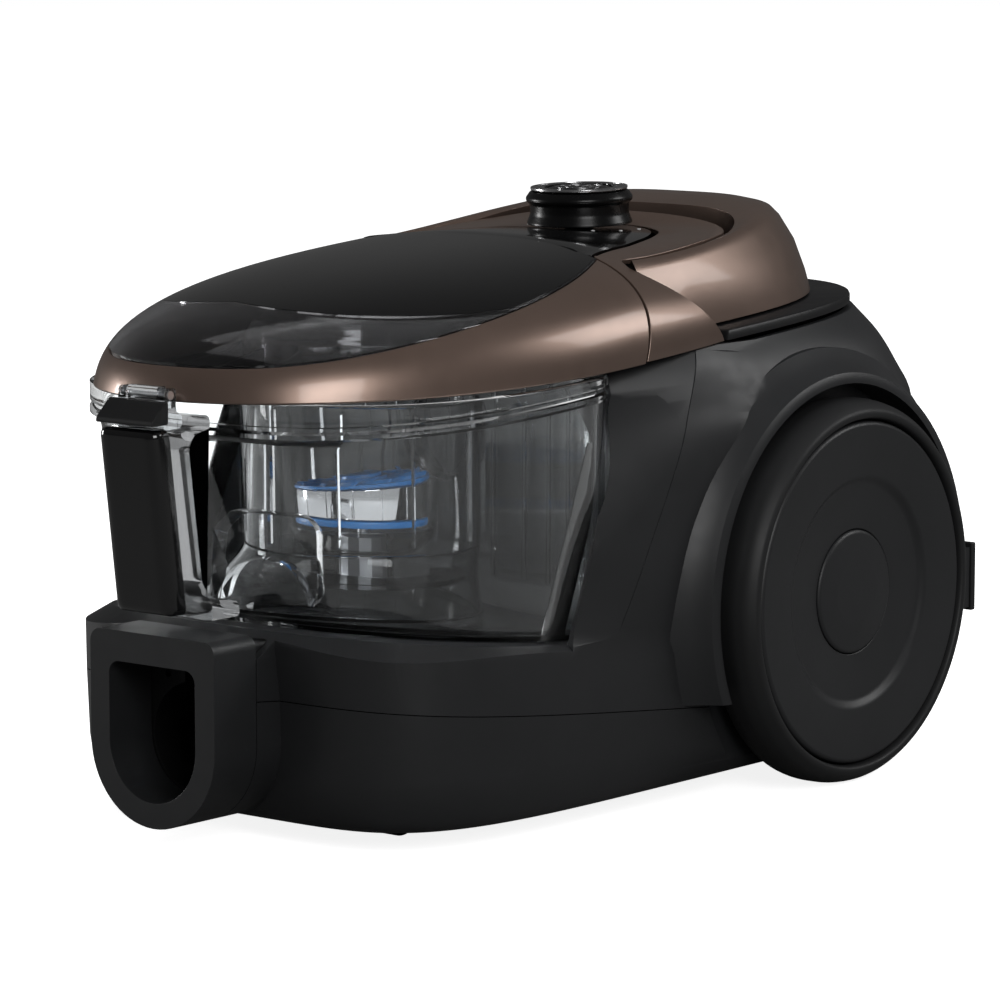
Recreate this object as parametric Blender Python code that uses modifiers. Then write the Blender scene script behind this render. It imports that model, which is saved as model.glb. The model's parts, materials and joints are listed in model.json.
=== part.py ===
"""Canister vacuum cleaner with a clear cyclone dust bin.

Units are metres, +Z is up, the hose inlet faces -Y and the origin is on the floor
under the middle of the machine.
"""
from math import cos, pi, radians, sin

import bmesh
import bpy
from mathutils import Matrix, Vector

for old in list(bpy.data.objects):
    bpy.data.objects.remove(old, do_unlink=True)

MM = 0.001
GAP = 0.4 * MM

# Driving dimensions
WHEEL_R = 80.0 * MM
WHEEL_Y = 100.0 * MM
WHEEL_Z = WHEEL_R
WHEEL_FACE_X = 130.0 * MM
TYRE_INNER_X = 107.0 * MM
DISC_R = 71.2 * MM
WELL_R = 86.0 * MM
WELL_X = 103.0 * MM
WALL = 3.0 * MM

CASTER_X = 46.0 * MM
CASTER_Y = -109.0 * MM
CASTER_TRAIL = 8.0 * MM
ROLLER_R = 10.5 * MM
POCKET_R = 24.0 * MM
POCKET_TOP = 29.0 * MM

BODY_FLOOR = 8.0 * MM
INLET_FACE_Y = -189.0 * MM
INLET_HALF_W = 32.5 * MM
INLET_Z = 42.5 * MM
INLET_TOP = 85.5 * MM
HOSE_BORE_R = 21.5 * MM

BIN_HALF_W = 101.0 * MM
BIN_Y = -45.0 * MM
BIN_REAR_Y = -13.0 * MM
CYCLONE_Y = -65.0 * MM
CYCLONE_R = 47.0 * MM

LID_HALF_W = 101.0 * MM
LID_LENGTH = 174.0 * MM
CROWN_H = 46.0 * MM
CROWN_POWER = 2.6

KNOB_Y = 74.7 * MM
KNOB_BASE_Z = 227.5 * MM
KNOB_TILT = radians(2.0)

LID_HINGE = Vector((0.0, -189.6 * MM, 178.4 * MM))
HINGE_PIN_R = 1.8 * MM
HANDLE_PIVOT = Vector((0.0, 30.0 * MM, 211.0 * MM))
HANDLE_PIN_R = 2.5 * MM

PORT_Y = -110.0 * MM
OUTLET_Z = 148.0 * MM
MACHINE_FRONT = -203.0 * MM
MACHINE_REAR = 203.0 * MM

MOTOR_X = 32.0 * MM
MOTOR_Z = 84.0 * MM
MOTOR_R = 46.0 * MM
REEL_X = -52.0 * MM
REEL_Y = 98.0 * MM
REEL_Z = 92.0 * MM

PLAN_POINTS = 28

parts = bpy.data.collections.new("canister_vacuum")
cutters = bpy.data.collections.new("cutters")
bpy.context.scene.collection.children.link(parts)
bpy.context.scene.collection.children.link(cutters)


def material(name, rgb, roughness, metallic=0.0, alpha=1.0):
    made = bpy.data.materials.new(name)
    made.use_nodes = True
    shader = made.node_tree.nodes["Principled BSDF"]
    shader.inputs["Base Color"].default_value = (*rgb, 1.0)
    shader.inputs["Roughness"].default_value = roughness
    shader.inputs["Metallic"].default_value = metallic
    shader.inputs["Alpha"].default_value = alpha
    return made


CHARCOAL = material("charcoal_plastic", (0.045, 0.048, 0.050), 0.5)
DARK = material("dark_plastic", (0.015, 0.015, 0.016), 0.45)
GLOSS = material("gloss_black", (0.006, 0.006, 0.007), 0.08)
BRONZE = material("bronze_paint", (0.25, 0.16, 0.12), 0.3, 0.7)
SILVER = material("silver_trim", (0.7, 0.7, 0.72), 0.25, 0.9)
CLEAR = material("clear_plastic", (0.8, 0.85, 0.86), 0.05, 0.0, 0.3)
SMOKE = material("smoked_plastic", (0.12, 0.12, 0.13), 0.05, 0.0, 0.6)
BLUE = material("blue_plastic", (0.0, 0.25, 0.6), 0.3)
CHROME = material("chrome", (0.85, 0.85, 0.87), 0.05, 1.0)
RUBBER = material("rubber", (0.02, 0.02, 0.021), 0.8)
STEEL = material("steel", (0.5, 0.5, 0.52), 0.35, 1.0)
FOAM = material("filter_foam", (0.03, 0.03, 0.035), 0.95)
PAPER = material("filter_paper", (0.75, 0.74, 0.7), 0.9)
BOARD = material("circuit_board", (0.02, 0.12, 0.05), 0.5)


def place(mesh, name, look, home=parts):
    made = bpy.data.objects.new(name, mesh)
    home.objects.link(made)
    if home is cutters:
        made.hide_render = True
        made.display_type = "WIRE"
    else:
        mesh.materials.append(look)
    return made


def from_bmesh(shape, name, look, home=parts):
    mesh = bpy.data.meshes.new(name)
    shape.to_mesh(mesh)
    shape.free()
    return place(mesh, name, look, home)


def box(name, low, high, look, home=parts, bevel=0.0):
    """An upright box between two corners, with its origin at its centre."""
    low = Vector(low)
    high = Vector(high)
    shape = bmesh.new()
    bmesh.ops.create_cube(shape, size=1.0)
    bmesh.ops.scale(shape, vec=high - low, verts=shape.verts)
    made = from_bmesh(shape, name, look, home)
    made.location = (low + high) / 2
    if bevel:
        rounding = made.modifiers.new("rounding", "BEVEL")
        rounding.width = bevel
        rounding.segments = 2
    return made


TURN = {
    "X": Matrix.Rotation(pi / 2, 4, "Y"),
    "Y": Matrix.Rotation(-pi / 2, 4, "X"),
    "Z": Matrix.Identity(4),
}


def cylinder(name, radius, start, length, axis, look, home=parts, sides=24):
    """A round bar from start along an axis."""
    shape = bmesh.new()
    bmesh.ops.create_cone(
        shape, cap_ends=True, segments=sides, radius1=radius, radius2=radius, depth=length,
        matrix=Matrix.Translation((0.0, 0.0, length / 2)),
    )
    made = from_bmesh(shape, name, look, home)
    made.matrix_world = Matrix.Translation(start) @ TURN[axis]
    return made


def turned(name, profile, centre, look, axis="Z", home=parts, steps=32, flip=False):
    """A profile of (radius, height) points, down its outer side, turned about an axis."""
    mesh = bpy.data.meshes.new(name)
    closed = profile[0][0] > 0 and profile[-1][0] > 0
    count = len(profile)
    edges = [(i, i + 1) for i in range(count - 1)]
    if closed:
        edges.append((count - 1, 0))
    mesh.from_pydata([(r, 0.0, h) for r, h in profile], edges, [])
    made = place(mesh, name, look, home)
    screw = made.modifiers.new("turn", "SCREW")
    screw.steps = steps
    screw.render_steps = steps
    screw.use_merge_vertices = True
    screw.merge_threshold = 0.00001
    screw.use_smooth_shade = True
    side = Matrix.Rotation(pi, 4, "X") if flip else Matrix.Identity(4)
    made.matrix_world = Matrix.Translation(centre) @ TURN[axis] @ side
    return made


def boolean(target, tool, operation="DIFFERENCE", solver="EXACT"):
    step = target.modifiers.new(tool.name, "BOOLEAN")
    step.operation = operation
    step.object = tool
    step.solver = solver


def power(value, exponent):
    return abs(value) ** exponent * (1 if value >= 0 else -1)


def outline(half_w, middle, front, rear, front_n, rear_n, count=44, shift=0.0):
    """Plan outline whose front and rear halves are superellipses joined at the widest line."""
    points = []
    for i in range(count):
        angle = 2 * pi * i / count
        across = sin(angle)
        along = -cos(angle)
        n = front_n if along < 0 else rear_n
        reach = middle - front if along < 0 else rear - middle
        x = (half_w + shift) * power(across, 2 / n)
        y = middle + (reach + shift) * power(along, 2 / n)
        points.append((x, y))
    return points


def loft(name, rings, look, home=parts):
    """A closed body through rings of equal point count, running upward, capped at both ends."""
    count = len(rings[0])
    verts = [point for ring in rings for point in ring]
    faces = [tuple(reversed(range(count)))]
    for level in range(len(rings) - 1):
        base = level * count
        for i in range(count):
            j = (i + 1) % count
            faces.append((base + i, base + j, base + count + j, base + count + i))
    last = (len(rings) - 1) * count
    faces.append(tuple(last + i for i in range(count)))
    mesh = bpy.data.meshes.new(name)
    mesh.from_pydata(verts, [], faces)
    shape = bmesh.new()
    shape.from_mesh(mesh)
    bmesh.ops.triangulate(shape, faces=shape.faces)
    bmesh.ops.recalc_face_normals(shape, faces=shape.faces)
    shape.to_mesh(mesh)
    shape.free()
    return place(mesh, name, look, home)


def sheet(name, rows, thickness, look, inside=(0.0, 0.0, 100 * MM)):
    """A grid of points made a wall, which grows from the grid toward the inside point."""
    width = len(rows[0])
    verts = [point for row in rows for point in row]
    faces = []
    for r in range(len(rows) - 1):
        for c in range(width - 1):
            a = r * width + c
            faces.append((a, a + 1, a + width + 1, a + width))
    mesh = bpy.data.meshes.new(name)
    mesh.from_pydata(verts, [], faces)
    shape = bmesh.new()
    shape.from_mesh(mesh)
    bmesh.ops.remove_doubles(shape, verts=shape.verts, dist=0.00001)
    shape.normal_update()
    facing = sum(face.normal.dot(face.calc_center_median() - Vector(inside)) for face in shape.faces)
    if facing < 0:
        bmesh.ops.reverse_faces(shape, faces=shape.faces)
    shape.to_mesh(mesh)
    shape.free()
    made = place(mesh, name, look)
    wall = made.modifiers.new("wall", "SOLIDIFY")
    wall.thickness = thickness
    wall.offset = -1.0
    return made


def prism(name, points, low, high, look, axis="Z", home=parts, centre=(0.0, 0.0, 0.0)):
    """A flat outline extruded between two heights along an axis through centre."""
    curve = bpy.data.curves.new(name, "CURVE")
    curve.dimensions = "2D"
    curve.fill_mode = "BOTH"
    curve.extrude = (high - low) / 2
    spline = curve.splines.new("POLY")
    spline.points.add(len(points) - 1)
    for point, (x, y) in zip(spline.points, points):
        point.co = (x, y, 0.0, 1.0)
    spline.use_cyclic_u = True
    guide = bpy.data.objects.new(name + "_outline", curve)
    parts.objects.link(guide)
    bpy.context.view_layer.update()
    ready = guide.evaluated_get(bpy.context.evaluated_depsgraph_get())
    mesh = bpy.data.meshes.new_from_object(ready)
    bpy.data.objects.remove(guide, do_unlink=True)
    mesh.materials.clear()
    shape = bmesh.new()
    shape.from_mesh(mesh)
    bmesh.ops.remove_doubles(shape, verts=shape.verts, dist=0.00001)
    bmesh.ops.translate(shape, vec=(0.0, 0.0, (low + high) / 2), verts=shape.verts)
    shape.to_mesh(mesh)
    shape.free()
    made = place(mesh, name, look, home)
    made.matrix_world = Matrix.Translation(centre) @ TURN[axis]
    return made


# ---------------------------------------------------------------- heights of the main lines
def seam_z(y):
    return 42.5 * MM - 0.104 * y


def ledge_z(y):
    return 70.5 * MM - 0.09 * y + 0.06 * y * y


def lip_z(y):
    return 176.0 * MM + 0.07 * y


def edge_z(y):
    """Lower edge of the bronze lid ring and rear cover."""
    return 182.4 * MM + 0.08 * y + 0.24 * y * y


def rim_z(y):
    """Top of the black rim that the carry handle rests on."""
    return 190.5 * MM + 0.07 * (y - 45.0 * MM)


def parting_y(z):
    """The parting plane between the lid and the rear cover leans back as it rises."""
    return -10.0 * MM + 0.3 * (z - 184.0 * MM)


def bin_outline(shift=0.0, front=-166.0 * MM):
    return outline(BIN_HALF_W, BIN_Y, front, BIN_REAR_Y, 2.8, 2.8, 32, shift)


def ring_at(points, height):
    return [(x, y, height(y) if callable(height) else height) for x, y in points]


# ---------------------------------------------------------------- lower body
def base_plan(shift=0.0):
    return outline(107.0 * MM, 46.0 * MM, -152.0 * MM, 192.0 * MM, 5.0, 4.5, PLAN_POINTS, shift)


def neck_points(half_w, centre_z, top, shift=0.0, steps=10):
    """A U with a round bottom, as (x, z) points."""
    r = half_w + shift
    round_part = [(r * cos(pi + pi * i / steps),
    centre_z + r * sin(pi + pi * i / steps)) for i in range(steps + 1)]
    return round_part + [(r, top + shift), (-r, top + shift)]


def neck_block(name, shift, front, back, top=INLET_TOP, half_w=INLET_HALF_W):
    points = [(x, -z) for x, z in neck_points(half_w, INLET_Z, top, shift)]
    return prism(name, points, front, back, None, "Y", cutters)


def wheel_blocks(radius, inner_x, tag):
    made = []
    for side, sign in (("right", 1), ("left", -1)):
        start = inner_x if sign > 0 else -150.0 * MM
        length = 150.0 * MM - inner_x
        made.append(
            cylinder(f"{tag}_{side}", radius, (start, WHEEL_Y, WHEEL_Z), length, "X", None, cutters, 30))
    return made


well_space = wheel_blocks(WELL_R, WELL_X, "well_space")
well_keep = wheel_blocks(WELL_R + WALL, WELL_X - WALL, "well_keep")


def pocket_blocks(radius, top, tag):
    return [
        cylinder(
            f"{tag}_{side}", radius, (sign * CASTER_X, CASTER_Y, -5.0 * MM), top + 5.0 * MM, "Z", None,
            cutters, 16)
        for side, sign in (("right", 1), ("left", -1))
    ]


def base_pan():
    levels = [(8, -14), (9.3, -9), (13.2, -5), (22, -2)]
    rings = [ring_at(base_plan(inset * MM), z * MM) for z, inset in levels]
    rings.append(ring_at(base_plan(), seam_z))
    pan = loft("base_pan", rings, CHARCOAL)
    neck = neck_block("pan_neck", 0.0, -165.0 * MM, -139.6 * MM)
    above_seam = loft(
        "pan_above_seam", [ring_at(base_plan(20 * MM), seam_z), ring_at(base_plan(20 * MM), 120 * MM)],
        None, cutters)
    boolean(neck, above_seam)
    hollow = loft(
        "pan_hollow",
        [ring_at(base_plan(-18 * MM), 11 * MM), ring_at(base_plan(-7.5 * MM), 16 * MM),
         ring_at(base_plan(-WALL), lambda y: seam_z(y) + 10 * MM)],
        None, cutters)
    for block in well_keep + pocket_blocks(POCKET_R + WALL, POCKET_TOP + WALL, "pocket_keep"):
        boolean(hollow, block)
    boolean(pan, hollow, solver="MANIFOLD")
    boolean(pan, neck, "UNION")
    neck_hollow = neck_block("pan_neck_hollow", -WALL, -175.0 * MM, -110.0 * MM)
    boolean(pan, neck_hollow, solver="MANIFOLD")
    for block in well_space + pocket_blocks(POCKET_R, POCKET_TOP, "pocket_space"):
        boolean(pan, block, solver="MANIFOLD")
    for side in (1, -1):
        stem = cylinder(
            f"stem_hole_{side}", 4.4 * MM, (side * CASTER_X, CASTER_Y, 20 * MM), 20 * MM, "Z", None,
            cutters, 16)
        boolean(pan, stem, solver="MANIFOLD")
    return pan


# ---------------------------------------------------------------- upper body
HOUSING_LEVELS = (
    # share of the height from the ledge to the rim, half width, widest y,
    # front y, rear y, front and rear power
    (0.31, 110, 70, -152, 196, 3.0, 4.6),
    (0.51, 113, 85, -150, 197, 2.4, 4.4),
    (0.71, 116, 95, -137, 195, 2.0, 3.9),
    (0.82, 111.5, 92, -137, 191, 2.0, 3.7),
    (0.92, 105.5, 76, -137, 188, 2.1, 3.6),
)


def shoulder_plan(shift=0.0):
    return outline(107 * MM, 30 * MM, -155 * MM, 194 * MM, 4.5, 4.6, PLAN_POINTS, shift)


def rim_plan(shift=0.0):
    return outline(98.5 * MM, 40 * MM, -150 * MM, 185 * MM, 2.2, 3.6, PLAN_POINTS, shift)


def upper_rings(shift, top_height, levels=HOUSING_LEVELS):
    rings = [ring_at(shoulder_plan(shift - 1 * MM), ledge_z)]
    for share, w, y0, front, rear, fn, rn in levels:
        plan = outline(w * MM, y0 * MM, front * MM, rear * MM, fn, rn, PLAN_POINTS, shift)
        rings.append([(x, y, ledge_z(y) + share * (housing_top(y) - ledge_z(y))) for x, y in plan])
    rings.append(ring_at(rim_plan(shift), top_height))
    return rings


def housing_top(y):
    if y < 45 * MM:
        return edge_z(y) - 0.5 * MM
    return rim_z(y) - 6.4 * MM


def recess_floor(y):
    return ledge_z(y) - GAP


def upper_housing():
    rings = [ring_at(base_plan(), lambda y: seam_z(y) + GAP),
    ring_at(shoulder_plan(), lambda y: ledge_z(y) - 6 * MM)]
    body = loft("upper_housing", rings + upper_rings(0.0, housing_top), CHARCOAL)

    neck = neck_block("housing_neck", 0.0, -165.0 * MM, -120.0 * MM)
    below_seam = loft(
        "neck_below_seam",
        [ring_at(base_plan(20 * MM), -20 * MM), ring_at(base_plan(20 * MM), lambda y: seam_z(y) + GAP)],
        None, cutters)
    boolean(neck, below_seam)
    boolean(body, neck, "UNION")

    for side, sign in (("right", 1), ("left", -1)):
        flare = turned(
            f"arch_flare_{side}",
            [(WELL_R - 4 * MM, 21 * MM), (WELL_R + 2.5 * MM, 21 * MM), (WELL_R + 5 * MM, 17 * MM),
             (WELL_R + 9 * MM, 10 * MM), (WELL_R + 13 * MM, 6 * MM), (WELL_R + 13 * MM, 0.0),
             (WELL_R - 4 * MM, 0.0)],
            (sign * 99 * MM, WHEEL_Y, WHEEL_Z), None, "X", cutters, 28, sign < 0)
        under = box(
            f"arch_under_{side}", (-150 * MM, -10 * MM, -40 * MM), (150 * MM, 240 * MM, 43 * MM), None,
            cutters)
        boolean(flare, under)
        boolean(body, flare, "UNION")
        bracket = box(
            f"foot_bracket_{side}", (min(sign * 84, sign * 116) * MM, 170 * MM, 60.5 * MM),
            (max(sign * 84, sign * 116) * MM, 199.5 * MM, 86.5 * MM), None, cutters)
        boolean(body, bracket, "UNION")

    lower_hollow = loft(
        "housing_lower_hollow",
        [ring_at(base_plan(-WALL - 1.3 * MM), lambda y: seam_z(y) - 5 * MM),
         ring_at(shoulder_plan(-WALL - 2.7 * MM), lambda y: ledge_z(y) - WALL - GAP)],
        None, cutters)
    upper_hollow = loft(
        "housing_upper_hollow",
        [ring_at(shoulder_plan(-WALL - 6 * MM), lambda y: ledge_z(y) - 12 * MM)]
        + upper_rings(-WALL, housing_top,
        HOUSING_LEVELS[2:3]) + [ring_at(rim_plan(-WALL), lambda y: housing_top(y) + 30 * MM)],
        None, cutters)
    keep = loft(
        "recess_wall_block",
        [ring_at(bin_outline(WALL + 1 * MM), 40 * MM), ring_at(bin_outline(WALL + 1 * MM), 240 * MM)], None,
        cutters)
    front_block = loft_wedge("front_block", 3.0 * MM, 30 * MM)
    boolean(upper_hollow, keep)
    boolean(upper_hollow, front_block)
    boolean(upper_hollow, lower_hollow, "UNION")
    for block in well_keep:
        boolean(upper_hollow, block)
    boolean(body, upper_hollow)

    recess = loft(
        "bin_recess",
        [ring_at(bin_outline(1 * MM), recess_floor), ring_at(bin_outline(1 * MM), 240 * MM)], None, cutters)
    boolean(body, recess)
    around = bin_outline(60 * MM, -150 * MM)
    window = loft(
        "bin_window",
        [ring_at(bin_outline(1.5 * MM, -150 * MM), recess_floor),
        ring_at(around, lambda y: ledge_z(y) - 42 * MM),
         ring_at(around, 270 * MM)],
        None, cutters)
    boolean(window, loft_wedge("window_edge", 0.0, 30 * MM), "INTERSECT")
    boolean(body, window)
    neck_hollow = neck_block("housing_neck_hollow", -WALL, -175.0 * MM, -110.0 * MM)
    boolean(body, neck_hollow)
    for block in well_space:
        boolean(body, block)
    for side in (1, -1):
        start = 90 * MM if side > 0 else -115 * MM
        bore = cylinder(
            f"axle_bore_{side}", 6.3 * MM, (start, WHEEL_Y, WHEEL_Z), 25 * MM, "X", None, cutters, 20)
        boolean(body, bore)
    port = cylinder("inlet_port_hole", 19.0 * MM, (0, PORT_Y, 60 * MM), 40 * MM, "Z", None, cutters, 24)
    boolean(body, port)
    outlet = cylinder("outlet_port_hole", 20.0 * MM, (0, -20 * MM, OUTLET_Z), 30 * MM, "Y", None, cutters, 24)
    boolean(body, outlet)
    grille = box(
        "grille_hole", (-45.4 * MM, 180 * MM, 89.6 * MM), (45.4 * MM, 210 * MM, 150.4 * MM), None, cutters)
    boolean(body, grille)
    gland = cylinder("gland_hole", 7.4 * MM, (-68 * MM, 170 * MM, 70 * MM), 40 * MM, "Y", None, cutters, 20)
    boolean(body, gland)
    return body


def loft_wedge(name, back, low):
    """All the space ahead of the slanted edge of the bin's window."""
    half = 170 * MM
    levels = []
    for z in (low, 280 * MM):
        edge = -91.3 * MM + 0.39 * z + back
        levels.append([(-half, -230 * MM, z), (half, -230 * MM, z), (half, edge, z), (-half, edge, z)])
    return loft(name, levels, None, cutters)


# ---------------------------------------------------------------- hose inlet
def inlet():
    points = [(x, -z) for x, z in neck_points(INLET_HALF_W, INLET_Z, INLET_TOP)]
    bezel = prism("inlet_bezel", points, INLET_FACE_Y, -165.4 * MM, CHARCOAL, "Y")
    opening = neck_block("bezel_opening", 0.0, -200 * MM, -160 * MM, 73.5 * MM, 22.5 * MM)
    boolean(bezel, opening)

    points = [(x, -z) for x, z in neck_points(INLET_HALF_W, INLET_Z, INLET_TOP, -WALL - 0.6 * MM)]
    socket = prism("hose_socket", points, -165 * MM, -150 * MM, DARK, "Y")
    bore = cylinder("socket_bore", HOSE_BORE_R, (0, -180 * MM, INLET_Z), 50 * MM, "Y", None, cutters, 28)
    key = box("socket_key", (-5 * MM, -180 * MM, INLET_Z), (5 * MM, -140 * MM, 70 * MM), None, cutters)
    boolean(socket, bore)
    boolean(socket, key)


def inlet_duct():
    """The elbow that carries the dust from the hose up into the bin."""
    path = [(0, -145.2, INLET_Z / MM), (0, -128, INLET_Z / MM), (0, -117, 47), (0, -111.5, 56),
    (0, PORT_Y / MM, 66),
            (0, PORT_Y / MM, 79)]
    rings = []
    radius = 17.0 * MM
    for i, (x, y, z) in enumerate(path):
        before = Vector(path[max(i - 1, 0)])
        after = Vector(path[min(i + 1, len(path) - 1)])
        heading = (after - before).normalized()
        if i == 0:
            heading = Vector((0, 1, 0))
        if i == len(path) - 1:
            heading = Vector((0, 0, 1))
        across = Vector((1, 0, 0))
        up = across.cross(heading)
        ring = []
        for k in range(14):
            angle = 2 * pi * k / 14
            ring.append(Vector((x, y, z)) * MM + radius * (cos(angle) * across + sin(angle) * up))
        rings.append(ring + ring[:1])
    sheet("inlet_duct", rings, 2 * MM, DARK, (0, -122 * MM, 48 * MM))


# ---------------------------------------------------------------- wheels and casters
def wheel(side, sign):
    centre = (sign * TYRE_INNER_X, WHEEL_Y, WHEEL_Z)
    flip = sign < 0
    width = WHEEL_FACE_X - TYRE_INNER_X
    seat = DISC_R + 0.4 * MM
    tyre = [
        (seat, width - 2 * MM), (73 * MM, width + 0.6 * MM), (75.5 * MM, width + 0.2 * MM),
        (78.5 * MM, width - 3.5 * MM), (WHEEL_R, width - 9 * MM), (WHEEL_R, 6 * MM), (79 * MM, 2 * MM),
        (76 * MM, 0.0), (seat, 0.0),
    ]
    turned(f"wheel_{side}_tyre", tyre, centre, RUBBER, "X", parts, 24, flip)
    hub = [
        (26.1 * MM, width - 5.5 * MM), (46.7 * MM, width - 3.2 * MM), (DISC_R - 1.5 * MM, width - 0.4 * MM),
        (DISC_R, width - 2 * MM), (DISC_R, 2 * MM), (67.5 * MM, 2 * MM), (67.5 * MM, width - 4.5 * MM),
        (46 * MM, width - 7 * MM),
        (24 * MM, width - 9.5 * MM), (11 * MM, width - 9.5 * MM), (11 * MM, 2 * MM), (6.4 * MM, 2 * MM),
        (6.4 * MM, width - 7 * MM), (26.1 * MM, width - 7 * MM),
    ]
    turned(f"wheel_{side}_disc", hub, centre, CHARCOAL, "X", parts, 24, flip)
    cap = [(0.0, width - 2.5 * MM), (23 * MM, width - 3.5 * MM), (25.7 * MM, width - 4.5 * MM),
           (25.7 * MM, width - 6.6 * MM), (0.0, width - 6.6 * MM)]
    turned(f"wheel_{side}_cap", cap, centre, CHARCOAL, "X", parts, 24, flip)
    start = 94 * MM if sign > 0 else -(TYRE_INNER_X + width - 7.5 * MM)
    cylinder(
        f"axle_{side}", 6 * MM, (start, WHEEL_Y, WHEEL_Z), TYRE_INNER_X + width - 7.5 * MM - 94 * MM, "X",
        STEEL, parts, 20)


def caster(side, sign):
    x = sign * CASTER_X
    fork = turned(
        f"caster_{side}_fork",
        [(0.0, 38 * MM), (4 * MM, 38 * MM), (4 * MM, 28.6 * MM), (20 * MM, 28.6 * MM), (21 * MM, 26 * MM),
         (21 * MM, 9 * MM), (19.5 * MM, 7.5 * MM), (0.0, 7.5 * MM)],
        (x, CASTER_Y, 0), DARK, "Z", parts, 18)
    roller_y = CASTER_Y + CASTER_TRAIL
    slot = cylinder(
        f"fork_slot_{side}", ROLLER_R + 1.2 * MM, (x - 6.6 * MM, roller_y, ROLLER_R), 13.2 * MM, "X", None,
        cutters, 20)
    boolean(fork, slot)
    pin_hole = cylinder(
        f"fork_pin_{side}", 1.9 * MM, (x - 12 * MM, roller_y, ROLLER_R), 24 * MM, "X", None, cutters, 10)
    boolean(fork, pin_hole)
    half = 6.2 * MM
    stub = 5 * MM
    profile = [
        (0.0, half + stub), (1.5 * MM, half + stub), (1.5 * MM, half), (ROLLER_R - 1 * MM, half),
        (ROLLER_R, half - 1.2 * MM),
        (ROLLER_R, 1.2 * MM - half), (ROLLER_R - 1 * MM, -half), (1.5 * MM, -half),
        (1.5 * MM, -half - stub), (0.0, -half - stub),
    ]
    turned(f"caster_{side}_roller", profile, (x, roller_y, ROLLER_R), RUBBER, "X", parts, 16)


# ---------------------------------------------------------------- dust bin
def bin_wall():
    outer = [
        (bin_outline(-4 * MM, -147 * MM), lambda y: ledge_z(y) + GAP),
        (bin_outline(-1.2 * MM, -149 * MM), lambda y: ledge_z(y) + 3 * MM),
        (bin_outline(-0.6 * MM, -163 * MM), lambda y: lip_z(y) - 4 * MM),
        (bin_outline(0.4 * MM, -166 * MM), lip_z),
        (bin_outline(-0.6 * MM, -166 * MM), lambda y: edge_z(y) - 2.5 * GAP),
    ]
    inner = [
        (bin_outline(-3.2 * MM, -166 * MM), lambda y: edge_z(y) - 2.5 * GAP),
        (bin_outline(-3.2 * MM, -163 * MM), lambda y: lip_z(y) - 5 * MM),
        (bin_outline(-4.0 * MM, -149 * MM), lambda y: ledge_z(y) + 5 * MM),
        (bin_outline(-6 * MM, -148 * MM), lambda y: ledge_z(y) + 3 * MM),
    ]
    rings = [ring_at(points, height) for points, height in outer + inner]
    shell = loft("bin_shell", rings, CLEAR)
    port = cylinder("bin_inlet_hole", 16.5 * MM, (0, PORT_Y, 60 * MM), 30 * MM, "Z", None, cutters, 24)
    boolean(shell, port)
    outlet = cylinder("bin_outlet_hole", 18.0 * MM, (0, -24 * MM, OUTLET_Z), 30 * MM, "Y", None, cutters, 24)
    boolean(shell, outlet)
    return shell


# ---------------------------------------------------------------- lid
def lid_point(turn, share):
    """A point on the lid: turn runs -90 to 90 degrees from side to side through the front."""
    x = share * LID_HALF_W * power(sin(turn), 2 / 2.15)
    ahead = -share * LID_LENGTH * power(cos(turn), 2 / 2.15)
    z = edge_z(ahead - 10 * MM) + CROWN_H * (1.0 - min(share, 1.0) ** CROWN_POWER) ** (1 / CROWN_POWER)
    return Vector((x, parting_y(z) + ahead, z))


def band_edge(turn):
    """Where the bronze band ends on the dome, as a share of the way out to the lid's edge."""
    return 0.985 - 0.325 * (abs(turn) / (pi / 2)) ** 3.6


def window_edge(turn):
    """Where the black cover of the dome ends and the smoked window begins."""
    lift = min(abs(turn) / radians(72), 1.0)
    return min(0.79 + 0.13 * lift - 0.06 * lift ** 4, band_edge(turn) - 0.012)


def lid_rows(inner, outer, rows, columns=20):
    grid = []
    for r in range(rows + 1):
        row = []
        for c in range(columns + 1):
            turn = -pi / 2 + pi * c / columns
            low = inner(turn)
            high = outer(turn)
            part = r / rows
            share = low + (high - low) * sin(part * pi / 2)
            row.append(lid_point(turn, share))
        grid.append(row)
    return grid


def lid():
    ring = lid_rows(lambda turn: band_edge(turn) + 0.002, lambda turn: 1.0, 4)
    sheet("lid_ring", ring, 2.2 * MM, BRONZE)
    window = lid_rows(lambda turn: window_edge(turn) + 0.004, lambda turn: band_edge(turn) - 0.003, 2)
    sheet("lid_window", window, 2.0 * MM, SMOKE)
    dome = lid_rows(lambda turn: 0.0, lambda turn: window_edge(turn), 5)
    sheet("lid_dome", dome, 2.0 * MM, GLOSS)


# ---------------------------------------------------------------- rear top: cover, panel, tray, handle
def half_width(y):
    """Half width of the rear cover along its lower edge."""
    return LID_HALF_W - 0.0009 * (y / MM + 10) ** 2 * MM


def top_height(y):
    """Height of the middle of the top behind the lid."""
    return 227.8 * MM - 0.012 * (y + 10 * MM)


def top_point(y, angle, side=1.0):
    """A point on the rear cover: angle runs from 0 at the lower edge to 90 degrees at the middle."""
    p = 2 / CROWN_POWER
    low = edge_z(y)
    x = half_width(y) * power(cos(angle), p)
    z = low + (top_height(y) - low) * power(sin(angle), p)
    return Vector((side * x, y, z))


def cover_lift(y, angle):
    """How far the cover's rear edge rises, to end level with the carry handle."""
    if angle < 45:
        return 0.0
    part = min(max((y - 15 * MM) / (75 * MM), 0.0), 1.0)
    return 5.4 * MM * part * part * (3 - 2 * part)


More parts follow.
